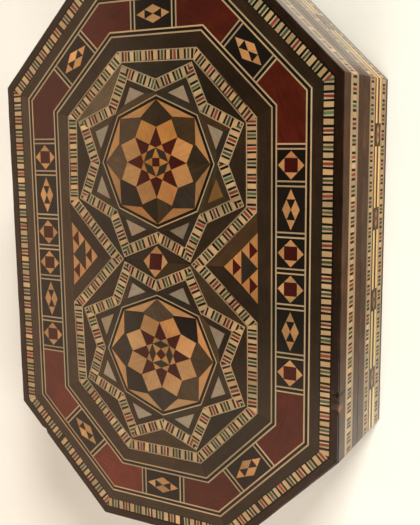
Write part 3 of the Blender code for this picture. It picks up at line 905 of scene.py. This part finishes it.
# Seen from above, a long side's strip meets the octagons and the waist's triangle at these points
stops = np.array([shoulder[1], WAIST_HALF_HEIGHT, -WAIST_HALF_HEIGHT, -shoulder[1]])
for side, quad in enumerate(ring_quads(octagon(FIELD), octagon(LATTICE))):
    shape = quad
    if side % 4 == 0:
        sign = 1 if side == 0 else -1
        met = np.stack([np.full(4, LATTICE), stops], 1) * sign
        shape = np.concatenate([quad[:3], met, quad[3:]])
    # The strips on the left and in front are paler: painted light
    ground.lay(shape, STRIP_WOODS_WITH_PAINTED_LIGHT[side], direction(quad[0], quad[1]))
shape = [waist_point, (WAIST_APEX, 0.0), (LATTICE, WAIST_HALF_HEIGHT), shoulder]
for mirror in (1, -1):
    for flip in (1, -1):
        grain = direction(waist_point, shoulder) * mirror * flip
        ground.lay(np.array(shape) * (mirror, flip), dark_wood(ground), grain)
star_ground = ground.make("dark_ground", LID_INLAY)

# %% [markdown]
# The same striped mosaic runs round the sides in three bands, and a plain stringing of cream and
# dark lines runs between the two on the base, with small lozenge blocks let into it.

# %% Bands on the sides
# The cream above and below the bars of each band, in mm
SIDE_EDGES = {"lid_side_mosaic": 2.9, "base_upper_mosaic": 2.2, "base_lower_mosaic": 2.2}
SIDE_PITCH = 1.045
SIDE_STRING = (("bone", 1), ("board_walnut", 1), ("bone", 1))
# The middles of the lozenge blocks along a long side, in mm. An end has the inner two
BLOCKS = (-63.8, -21.3, 21.3, 63.8)
BLOCK_HALF = 5.75 * MM
LOZENGE = np.array([2.6, 1.9]) * MM
UNIT_LOZENGE = np.array([(-1, 0), (0, -1), (1, 0), (0, 1)])


def upright(start, end, low, high):
    """A strip on a side, from start to end along it and between two heights."""
    return [(start, high), (end, high), (end, low), (start, low)]


def band_heights(node):
    """Lowest and highest edge of the place that a band fills."""
    return place_end(node, 2, 0), place_end(node, 2)


side_bands = {}
for seed, (node, edge) in enumerate(SIDE_EDGES.items()):
    tray = Tray(60 + seed)
    for side in range(8):
        quad = upright(-half_side(side), half_side(side), *band_heights(node))
        lay_band(tray, quad, edge * MM, place=1 + side, pitch_scale=SIDE_PITCH)
    side_bands[node] = tray.make(node + "_tiles", SIDE_INLAY)


def lay_block(tray, side, centre, low, high):
    """A block of four lozenges: two pale ones along the side, two plum ones across it."""
    box = upright(centre - BLOCK_HALF, centre + BLOCK_HALF, low, high)
    tray.lay(box, "board_walnut", 0.0, 1 + side, sunk=SUNK)
    for aside, wood in zip(UNIT_LOZENGE[[0, 2, 1, 3]], ["faded_wood"] * 2 + ["plum_wood"] * 2):
        lozenge = (UNIT_LOZENGE + aside) * LOZENGE + (centre, (low + high) / 2)
        tray.lay(lozenge, wood, 0.0, 1 + side)


side_stringing = Tray(65)
heights = band_heights("base_stringing")
for side in range(8):
    blocks = BLOCKS if side % 4 == 0 else (0.0,) if side % 2 else BLOCKS[1:3]
    starts = [-half_side(side)] + [block * MM + BLOCK_HALF for block in blocks]
    ends = [block * MM - BLOCK_HALF for block in blocks] + [half_side(side)]
    for start, end in zip(starts, ends):
        lay_line(side_stringing, upright(start, end, *heights), SIDE_STRING, place=1 + side)
    for block in blocks:
        lay_block(side_stringing, side, block * MM, *heights)
base_stringing = side_stringing.make("base_stringing_lines", SIDE_INLAY)

# %% [markdown]
# The rim and the walls are walnut boards, mitred at the corners. Each board is its cross section
# carried along its side, so the grooves for the bands and the rounded edges come in one go.
# Hands have rubbed the top edges paler and knocked a few chips out of the lid's. The lid's boards
# are painted darker on top than on their sides: painted shade, as the light leaves the top darker.

# %% Boards
STEP = 2.0 * MM
# The boards' inner face, and the floor of their grooves
INSIDE = HALF_WIDTH - 7.0 * MM
INSET = HALF_WIDTH - 1.3 * MM
LOW_EDGE = 0.35 * MM
LID_EDGE = 0.7 * MM
MITRE_GAP = 0.04 * MM
# How far from the edge rubbing and chips reach, how deep the rubbing goes, and how much paler and
# how much lower for its depth it makes the edge
EDGE_REACH = 1.3 * MM
RUB_DEPTH, RUB_LIGHT, RUB_DROP = 0.10 * MM, 0.8, 0.6
SMOOTHING = [0.1, 0.15, 0.2, 0.25, 0.2, 0.15, 0.1]


def grid_quads(rows, columns):
    """Quads between points in rows. Each row closes on itself."""
    row, column = np.meshgrid(np.arange(rows - 1), np.arange(columns), indexing="ij")
    after = (column + 1) % columns
    low, high = row * columns, (row + 1) * columns
    quads = np.stack([high + column, high + after, low + after, low + column], -1)
    return quads.reshape(-1, 4)


def arc(centre, radius, start, end, count):
    """Points round a quarter of a circle: centre + radius * (cos, sin) of angles in degrees."""
    angle = np.radians(np.linspace(start, end, count))
    return np.stack([centre[0] + radius * np.cos(angle), centre[1] + radius * np.sin(angle)], 1)


def joined(grooves):
    """The grooves from the lowest up. Two that touch become one, with no thin fin between."""
    wide = list(grooves[:1])
    for low, high in grooves[1:]:
        if low - wide[-1][1] < JOINT:
            wide[-1] = (wide[-1][0], high)
        else:
            wide.append((low, high))
    return wide


def board_profile(low, high, grooves, rebate, edge_radius):
    """Cross section as (apothem, height), anticlockwise from the inner lower corner."""
    points = [[(INSIDE, low)]]
    points.append(arc((HALF_WIDTH - LOW_EDGE, low + LOW_EDGE), LOW_EDGE, -90, 0, 4))
    for groove_low, groove_high in joined(grooves):
        points.append([(HALF_WIDTH, groove_low), (INSET, groove_low)])
        points.append([(INSET, groove_high), (HALF_WIDTH, groove_high)])
    points.append(arc((HALF_WIDTH - edge_radius, high - edge_radius), edge_radius, 0, 90, 5))
    points.append(rebate)
    return np.concatenate([np.asarray(group, float) for group in points])


def make_boards(name, profile, wood, seed, chips=(), top_painted_shade=1.0):
    """Eight closed boards: the profile at each step along each side, and its two ends.

    The last argument is how bright their top is painted beside their sides: painted shade, as the
    light leaves the top darker. A chip is its side, its distance along it, its half length and its
    depth in mm, and how bright it is beside the wood. It fades as exp(-distance^2) along the board
    and from its top edge.
    """
    random = np.random.default_rng(seed)
    points, sets, values, maps = [], [], {"wood_colour": [], "figure": [], "seam": []}, []
    total = 0
    round_edge = np.concatenate([[0], np.cumsum(np.linalg.norm(np.diff(profile, axis=0), axis=1))])
    count, kind = len(profile), WOOD_NAMES.index(wood)
    painted_shade_top = profile[:, 1] > profile[:, 1].max() - GAP
    for side in range(8):
        middle, along, outward = side_frame(side)
        half = half_side(side)
        share = np.linspace(-1, 1, max(2, int(2 * half / STEP) + 1))
        here = [chip[1:] for chip in chips if chip[0] == side]
        for at, wide, _, _ in here:
            share = np.append(share, (at + np.linspace(-2, 2, 17) * wide) * MM / half)
        share = np.unique(share.round(5))[:, None]
        rows = len(share)
        reach_at = half - (HALF_WIDTH - profile[:, 0]) * SLOPE - MITRE_GAP
        distance = share * reach_at[None]
        edge = np.hypot(*(profile - (HALF_WIDTH, profile[:, 1].max())).T)
        near_edge = np.exp(-((edge / EDGE_REACH) ** 2))
        wear = np.convolve(random.normal(0, 1, rows + 6), SMOOTHING)[6:-6]
        rub = np.abs(wear)[:, None] * near_edge
        sunk, light = rub * RUB_DEPTH, 1 + rub * RUB_LIGHT
        for at, wide, depth, tone in here:
            chip = np.exp(-(((share * half / MM - at) / wide) ** 2)) * near_edge
            sunk, light = sunk + chip * depth * MM, light * (1 + (tone - 1) * chip)
        apothem = profile[:, 0] - sunk
        height = profile[:, 1] - sunk * RUB_DROP
        flat = middle + distance[..., None] * along + apothem[..., None] * outward
        grid = np.concatenate([flat, height[..., None]], 2)
        sets.append(grid_quads(rows, count) + total)
        sets.append(np.arange(count)[None] + total)
        sets.append((np.arange(count)[None] + (rows - 1) * count)[:, ::-1] + total)
        colour = WOOD_COLOURS[kind] * math.exp(random.normal(0, WOOD_SPREAD[kind]))
        # The top is painted darker than the sides: painted shade
        colour = colour * (light * np.where(painted_shade_top, top_painted_shade, 1.0)).reshape(-1, 1)
        values["wood_colour"].append(np.pad(colour, ((0, 0), (0, 1)), constant_values=1.0))
        values["figure"].append(np.full(rows * count, 1.0))
        values["seam"].append(np.zeros(rows * count))
        shift = random.uniform(-1, 1, 2)
        grain = np.stack([distance, np.tile(round_edge, (rows, 1))], -1) + shift
        maps.append(grain.reshape(-1, 2))
        points.append(grid.reshape(-1, 3))
        total += rows * count
    print(name, "boards have", total, "points")
    return make_piece(name, points, sets, values, maps)


# The rim's top edge ends at the border, and drops to the ledge under the top panel
shelf = reach("lid_top_panel", 2, 0) - GAP
lid_rebate = [(RIM + HALF_GAP, LID_TOP), (RIM + HALF_GAP, shelf), (INSIDE, shelf)]
lid_grooves = [band_heights("lid_side_mosaic")]
lid_profile = board_profile(LID_BOTTOM, LID_TOP, lid_grooves, lid_rebate, LID_EDGE)
# How bright the lid's top is painted beside its sides: painted shade, as the light leaves the top
# darker
LID_TOP_PAINTED_SHADE = 0.24
CHIPS = ((0, -57.5, 0.9, 0.8, 0.25), (0, -64.9, 1.5, 0.4, 3.5), (5, -19.0, 1.6, 0.8, 0.5))
lid_rim = make_boards("lid_rim_boards", lid_profile, "board_walnut", 70, CHIPS, LID_TOP_PAINTED_SHADE)
base_nodes = ("base_lower_mosaic", "base_stringing", "base_upper_mosaic")
base_grooves = [band_heights(node) for node in base_nodes]
base_profile = board_profile(0.0, BASE_TOP, base_grooves, [(INSIDE, BASE_TOP)], LOW_EDGE)
# The bottom panel lies in a rebate of the walls
panel_end, panel_top = (reach("base_bottom_panel", axis) + GAP for axis in (0, 2))
foot = [(INSIDE, panel_top), (panel_end, panel_top), (panel_end, 0.0)]
base_profile = np.concatenate([foot, base_profile[1:]])
base_walls = make_boards("base_wall_boards", base_profile, "board_walnut", 71)

# %% [markdown]
# Shader maths is easier to read as sums, so a small class wraps a socket and turns Python's
# operators into Math nodes. Every other node comes from one method.

# %% Write materials as sums


class Wire:
    """A socket that can be added to, multiplied and so on."""

    def __init__(self, finish, socket):
        self.finish, self.socket = finish, socket

    def maths(self, operation, first, second):
        """A Math node of the two, each a wire or a number."""
        settings = {"operation": operation}
        return self.finish.node("Math", settings, output="Value", _0=first, _1=second)

    def __add__(self, other):
        return self.maths("ADD", self, other)

    def __sub__(self, other):
        return self.maths("SUBTRACT", self, other)

    def __rsub__(self, other):
        return self.maths("SUBTRACT", other, self)

    def __mul__(self, other):
        return self.maths("MULTIPLY", self, other)

    def __pow__(self, other):
        return self.maths("POWER", self, other)

    __radd__, __rmul__ = __add__, __mul__


class Finish:
    """A material, made node by node."""

    def __init__(self, name):
        self.material = bpy.data.materials.new(name)
        self.material.use_nodes = True
        self.tree = self.material.node_tree
        self.shader = self.tree.nodes["Principled BSDF"]

    def plug(self, socket, value):
        """Links a wire to a socket, or sets the socket's own value."""
        if isinstance(value, Wire):
            self.tree.links.new(value.socket, socket)
        else:
            socket.default_value = value

    def node(self, kind, settings=None, output=None, **sockets):
        """Any node: its type, its settings, and values or wires for its sockets."""
        made = self.tree.nodes.new("ShaderNode" + kind)
        for key, value in (settings or {}).items():
            setattr(made, key, value)
        for key, value in sockets.items():
            if key[1:].isdigit():
                socket = made.inputs[int(key[1:])]
            else:
                named = [s for s in made.inputs if s.name == key.replace("_", " ") and s.enabled]
                socket = named[0]
            self.plug(socket, value)
        outputs = [s for s in made.outputs if s.enabled and (output is None or s.name == output)]
        return Wire(self, outputs[0])

    def attribute(self, name, output="Fac"):
        """A value that the mesh's points carry."""
        return self.node("Attribute", {"attribute_name": name}, output=output)

    def tinted(self, colour, shade):
        """Two colours multiplied."""
        settings = {"data_type": "RGBA", "blend_type": "MULTIPLY"}
        return self.node("Mix", settings, output="Result", A=colour, B=shade, Factor=1.0)

    def lit(self, colour, light):
        """A colour times a brightness."""
        shade = self.node("CombineColor", output="Color", Red=light, Green=light, Blue=light)
        return self.tinted(colour, shade)

    def ramp(self, value, *stops):
        """A colour from a value, by stops of a place and a colour."""
        wire = self.node("ValToRGB", output="Color", Fac=value)
        elements = wire.socket.node.color_ramp.elements
        while len(elements) < len(stops):
            elements.new(0.5)
        for stop, (place, colour) in zip(elements, stops):
            stop.position = place
            stop.color = (*colour, 1.0)
        return wire

    def clamped(self, value):
        """The value, kept from 0 to 1."""
        return self.node("Clamp", output="Result", Value=value)

    def noise(self, vector, scale, detail=2.0, roughness=0.5):
        """Soft noise from 0 to 1."""
        sockets = {"Vector": vector, "Scale": scale, "Detail": detail, "Roughness": roughness}
        return self.node("TexNoise", output="Fac", **sockets)

    def streaks(self, vector, across, along, up=1.0, detail=3.0, roughness=0.6):
        """Noise drawn out: one scale for each axis."""
        scale = (across, along, up)
        stretched = self.node("Mapping", {"vector_type": "POINT"}, Vector=vector, Scale=scale)
        return self.noise(stretched, 1.0, detail, roughness)

    def surface(self, **sockets):
        """Plugs the shader's sockets."""
        for key, value in sockets.items():
            self.plug(self.shader.inputs[key.replace("_", " ")], value)


print("materials are ready to be written")

# %% [markdown]
# All the woods share one recipe. The tile's own colour is streaked along its grain, dark pores
# run the same way, and the joints are darker. Over everything lies a hand-brushed lacquer.

# %% Lacquered wood
# The hue drifts between these two tints
REDDER, GREENER = (1.06, 0.97, 0.90), (0.93, 1.03, 1.02)
COAT_ROUGHNESS = 0.2


def lacquered_wood(name, roughness=0.38, worn=False, gloss=0.1):
    """Finish for tiles and boards that carry wood_colour, figure and seam.

    Worn lacquer has its coat on flat tops. On the sides hands have rubbed it off the middle: it
    begins 27 mm in front of it and is full at 104 mm, and begins 90 mm behind it and is full at
    100 mm.
    """
    finish = Finish(name)
    grain = finish.node("UVMap", {"uv_map": "grain"})
    figure, seam = finish.attribute("figure"), finish.attribute("seam")
    place = finish.node("TexCoord", output="Object")
    streaks = finish.streaks(grain, 60.0, 900.0)
    pores = finish.streaks(grain, 400.0, 5200.0, detail=2.0)
    clouds = finish.noise(place, 38.0)
    blotches = finish.noise(place, 110.0, 3.0, 0.6)
    light = 1.0 + (streaks - 0.5) * figure * 1.2 + (clouds - 0.5) * 0.5
    light = light + (blotches - 0.5) * figure * 0.9
    light = light - (pores ** 3.0) * figure * 0.9
    light = light * (1.0 - seam * 0.6)
    wood = finish.lit(finish.attribute("wood_colour", "Color"), light)
    drift = finish.ramp(finish.noise(place, 26.0), (0.3, REDDER), (0.7, GREENER))
    height = finish.noise(place, 160.0) * 0.5 + pores * 0.35
    bump = finish.node("Bump", output="Normal", Strength=0.05, Distance=0.0004, Height=height)
    rough = roughness + (clouds - 0.5) * 0.16
    finish.surface(Base_Color=finish.tinted(wood, drift), Roughness=rough, Normal=bump)
    coat = (1.0 - seam) ** 2.0 * 0.8
    if worn:
        facing = finish.node("NewGeometry", output="Normal")
        upward = finish.node("SeparateXYZ", output="Z", Vector=facing)
        along = finish.node("SeparateXYZ", output="Y", Vector=place)
        level = finish.clamped(upward * 12.0 - 11.0)
        front = finish.clamped(along * -13.0 - 0.35)
        back = finish.clamped(along * 100.0 - 9.0)
        coat = coat * finish.clamped(level + front + back)
    finish.surface(Coat_Weight=coat, Coat_Roughness=COAT_ROUGHNESS, Specular_IOR_Level=gloss)
    return finish.material


MOSAIC = lacquered_wood("lacquered_mosaic")
SIDE_MOSAIC = lacquered_wood("worn_side_mosaic", 0.5, worn=True, gloss=0.03)
WALNUT_BOARDS = lacquered_wood("worn_walnut_boards", 0.5, worn=True, gloss=0.03)
print("three lacquered finishes")

# %% Mother of pearl finish
pearl_finish = Finish("mother_of_pearl")
shell = pearl_finish.node("UVMap", {"uv_map": "grain"})
layers = pearl_finish.streaks(shell, 120.0, 420.0)
hue = pearl_finish.streaks(shell, 180.0, 300.0, detail=1.0, roughness=0.5)
PINK, WHITE, GREEN = (0.95, 0.80, 0.78), (1.0, 0.98, 0.92), (0.78, 0.94, 0.88)
rainbow = pearl_finish.ramp(hue, (0.3, PINK), (0.5, WHITE), (0.7, GREEN))
nacre = pearl_finish.tinted(pearl_finish.attribute("wood_colour", "Color"), rainbow)
pearl_finish.surface(
    Base_Color=pearl_finish.lit(nacre, 0.72 + layers * 0.55),
    Roughness=0.28,
    Coat_Weight=0.6,
    Coat_Roughness=COAT_ROUGHNESS,
)
print("pearl finish made")

# %% [markdown]
# The underside and what the lid hides are plain wood with wax, not lacquer.

# %% Plain wood


def plain_wood(name, dark, pale):
    """Wood with rings along Y, from Object coordinates."""
    finish = Finish(name)
    place = finish.node("TexCoord", output="Object")
    lines = finish.streaks(place, 260.0, 9.0, 60.0, detail=4.0)
    blotch = finish.noise(place, 22.0)
    colour = finish.ramp(lines * 0.8 + blotch * 0.3, (0.3, dark), (0.75, pale))
    bump = finish.node("Bump", output="Normal", Strength=0.15, Distance=0.0003, Height=lines)
    finish.surface(Base_Color=colour, Roughness=0.62 + (blotch - 0.5) * 0.2, Normal=bump)
    return finish.material


PLAIN = plain_wood("plain_box_wood", tuple(linear((120, 84, 54))), tuple(linear((168, 128, 90))))
for node in ("base_bottom_panel", "lid_top_panel"):
    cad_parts[node].data.materials.clear()
    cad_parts[node].data.materials.append(PLAIN)
print("plain wood on the bottom panel and under the marquetry")

# %% [markdown]
# Each new piece gets its finish and hangs from the root body; the solids it stands for are hidden.

# %% Dress the frame
RIM_NODES = ["lid_rim_" + name for name in SIDE_NAMES]
WALL_NODES = ["base_wall_" + name for name in SIDE_NAMES]
MOTIF_NODES = [node for nodes in PANEL_NODES.values() for node in nodes]
CORNER_NODES = [f"red_corner_panel_{number}" for number in range(1, 9)]
DRESSED = (
    (striped_border, MOSAIC, "striped_mosaic", ["lid_striped_border"]),
    (dark_ring, MOSAIC, "black_wood", ["lid_dark_ring"]),
    (panel_stringing, MOSAIC, "cream_wood", ["panel_stringing"]),
    (mahogany_corners, MOSAIC, "red_wood", CORNER_NODES),
    (motif_panels, MOSAIC, "motif_mosaic", MOTIF_NODES),
    (octagon_band, MOSAIC, "striped_mosaic", ["octagon_band"]),
    (star_bands["back"], MOSAIC, "striped_mosaic", ["star_band_back"]),
    (star_bands["front"], MOSAIC, "striped_mosaic", ["star_band_front"]),
    (medallions["back"], MOSAIC, "star_mosaic", ["medallion_back"]),
    (medallions["front"], MOSAIC, "star_mosaic", ["medallion_front"]),
    (waist_rhombus, MOSAIC, "motif_mosaic", ["waist_rhombus"]),
    (triangles["right"], MOSAIC, "motif_mosaic", ["waist_triangle_right"]),
    (triangles["left"], MOSAIC, "motif_mosaic", ["waist_triangle_left"]),
    (mother_of_pearl, pearl_finish.material, "star_mosaic", ["star_ground"]),
    (star_ground, MOSAIC, "black_wood", ["star_ground"]),
    (side_bands["lid_side_mosaic"], SIDE_MOSAIC, "striped_mosaic", ["lid_side_mosaic"]),
    (side_bands["base_upper_mosaic"], SIDE_MOSAIC, "striped_mosaic", ["base_upper_mosaic"]),
    (side_bands["base_lower_mosaic"], SIDE_MOSAIC, "striped_mosaic", ["base_lower_mosaic"]),
    (base_stringing, SIDE_MOSAIC, "cream_wood", ["base_stringing"]),
    (lid_rim, WALNUT_BOARDS, "walnut", RIM_NODES),
    (base_walls, WALNUT_BOARDS, "walnut", WALL_NODES),
)
for piece, material, slot, nodes in DRESSED:
    piece.data.materials.append(material)
    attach(piece, "root")
    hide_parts(*nodes)
print(len(DRESSED), "pieces dress", sum(len(row[3]) for row in DRESSED), "solids")

# %% [markdown]
# The camera has the photograph's angle: its place and its turn were worked out from the corners
# of the lid and of its pattern.

# %% Camera
CAMERA_PLACE = Vector((0.21828, 0.06584, 0.40883))
# Its turn as an axis times an angle, its focal length in pixels, and the photograph's height
TURN = Vector((-0.1631, 0.5014, -0.0305))
FOCAL_LENGTH, PHOTO_HEIGHT = 786.108, 525
SENSOR = 36.0
turn = Matrix.Rotation(TURN.length, 3, TURN.normalized())
right, above, ahead = (Vector((row[0], row[1], -row[2])) for row in turn)
camera_data = bpy.data.cameras.new("camera")
camera_data.sensor_width = SENSOR
camera_data.lens = FOCAL_LENGTH / PHOTO_HEIGHT * SENSOR
camera_data.clip_start = 0.01
camera = bpy.data.objects.new("camera", camera_data)
axes = Matrix((right, above, -ahead)).transposed().to_4x4()
camera.matrix_world = Matrix.Translation(CAMERA_PLACE) @ axes
bpy.context.scene.collection.objects.link(camera)
bpy.context.scene.camera = camera
print("camera", [round(v, 3) for v in camera.location], "looks along", [round(v, 3) for v in ahead])

# %% [markdown]
# The floor is a round one that curves up into a pale wall, as in a photographer's studio, so the
# box has a pale ground behind it from every side. A profile is turned about Z in one go.

# %% Floor
# Radius of the flat part, radius of the curve and height of the wall, in metres
FLAT, COVE, WALL = 2.2, 0.8, 2.4
TURNS = 96
cove = arc((FLAT, COVE), COVE, -90, 0, 9)
profile = np.concatenate([[(0.01, 0.0), (1.0, 0.0)], cove, [(FLAT + COVE, WALL)]])
angle = np.arange(TURNS) / TURNS * 2 * math.pi
rings = [profile[:, :1] * np.cos(angle), profile[:, :1] * np.sin(angle)]
rings = np.stack(rings + [np.tile(profile[:, 1:], TURNS)], 2)
quads = grid_quads(len(profile), TURNS)
floor_mesh = bpy.data.meshes.new("floor")
floor_mesh.from_pydata(rings.reshape(-1, 3).tolist(), [], quads.tolist() + [list(range(TURNS))])
floor_mesh.shade_smooth()
floor = bpy.data.objects.new("floor", floor_mesh)
bpy.context.scene.collection.objects.link(floor)
floor_finish = Finish("pale_floor")
cloud = floor_finish.noise(floor_finish.node("TexCoord", output="Object"), 14.0, 3.0, 0.6)
pale = floor_finish.ramp(cloud, (0.3, (0.76, 0.74, 0.69)), (0.7, (0.80, 0.78, 0.73)))
floor_finish.surface(Roughness=0.9, Base_Color=pale)
floor_mesh.materials.append(floor_finish.material)
print("floor", 2 * FLAT, "m across, wall", WALL, "m high")

# %% [markdown]
# One large soft lamp stands behind the box on the right, so the shadow falls softly to the left
# and front. Two warm cards hang above its left and its front, and the lacquer mirrors them as a
# haze. Weaker lamps in front, low on the left and low on the right fill the shadows. Two lamps
# are kept out of mirror reflections, so that no view of the lid is blinded by them.

# %% Lights


def soft_lamp(name, place, target, size, power, colour):
    """A square area lamp turned to a point."""
    data = bpy.data.lights.new(name, "AREA")
    data.shape = "RECTANGLE"
    data.size, data.size_y = size
    data.energy = power
    data.color = colour
    lamp = bpy.data.objects.new(name, data)
    lamp.location = place
    aim = Vector(target) - Vector(place)
    lamp.rotation_euler = aim.to_track_quat("-Z", "Y").to_euler()
    bpy.context.scene.collection.objects.link(lamp)
    return lamp


WARM = (1.0, 0.99, 0.93)
AMBER = (1.0, 0.66, 0.45)
window = soft_lamp("window", (0.75, 1.4, 1.0), (0, 0, 0), (0.55, 0.55), 46.0, WARM)
soft_lamp("left_card", (-0.70, -0.05, 0.67), (-0.70, -0.05, 0), (0.54, 1.1), 2.25, AMBER)
soft_lamp("front_card", (-0.29, -0.52, 0.67), (-0.29, -0.52, 0), (0.95, 0.54), 1.5, AMBER)
soft_lamp("front_fill", (0.3, -0.9, 1.3), (0, 0, 0), (0.9, 0.9), 10.0, WARM)
soft_lamp("low_fill", (-1.3, -0.6, 0.4), (0, 0, 0.03), (1.0, 0.5), 1.2, WARM)
low_right = soft_lamp(
    "low_right", (0.55, -0.35, 0.25), (0.12, -0.1, 0.0), (0.25, 0.25), 1.8, WARM
)
for lamp in (window, low_right):
    lamp.visible_glossy = False
world = bpy.data.worlds.new("studio")
world.use_nodes = True
background = world.node_tree.nodes["Background"].inputs
background["Color"].default_value = (1.0, 0.97, 0.9, 1.0)
background["Strength"].default_value = 0.01
bpy.context.scene.world = world
bpy.context.scene.view_settings.view_transform = "Standard"
print("six lamps and a dim pale room")
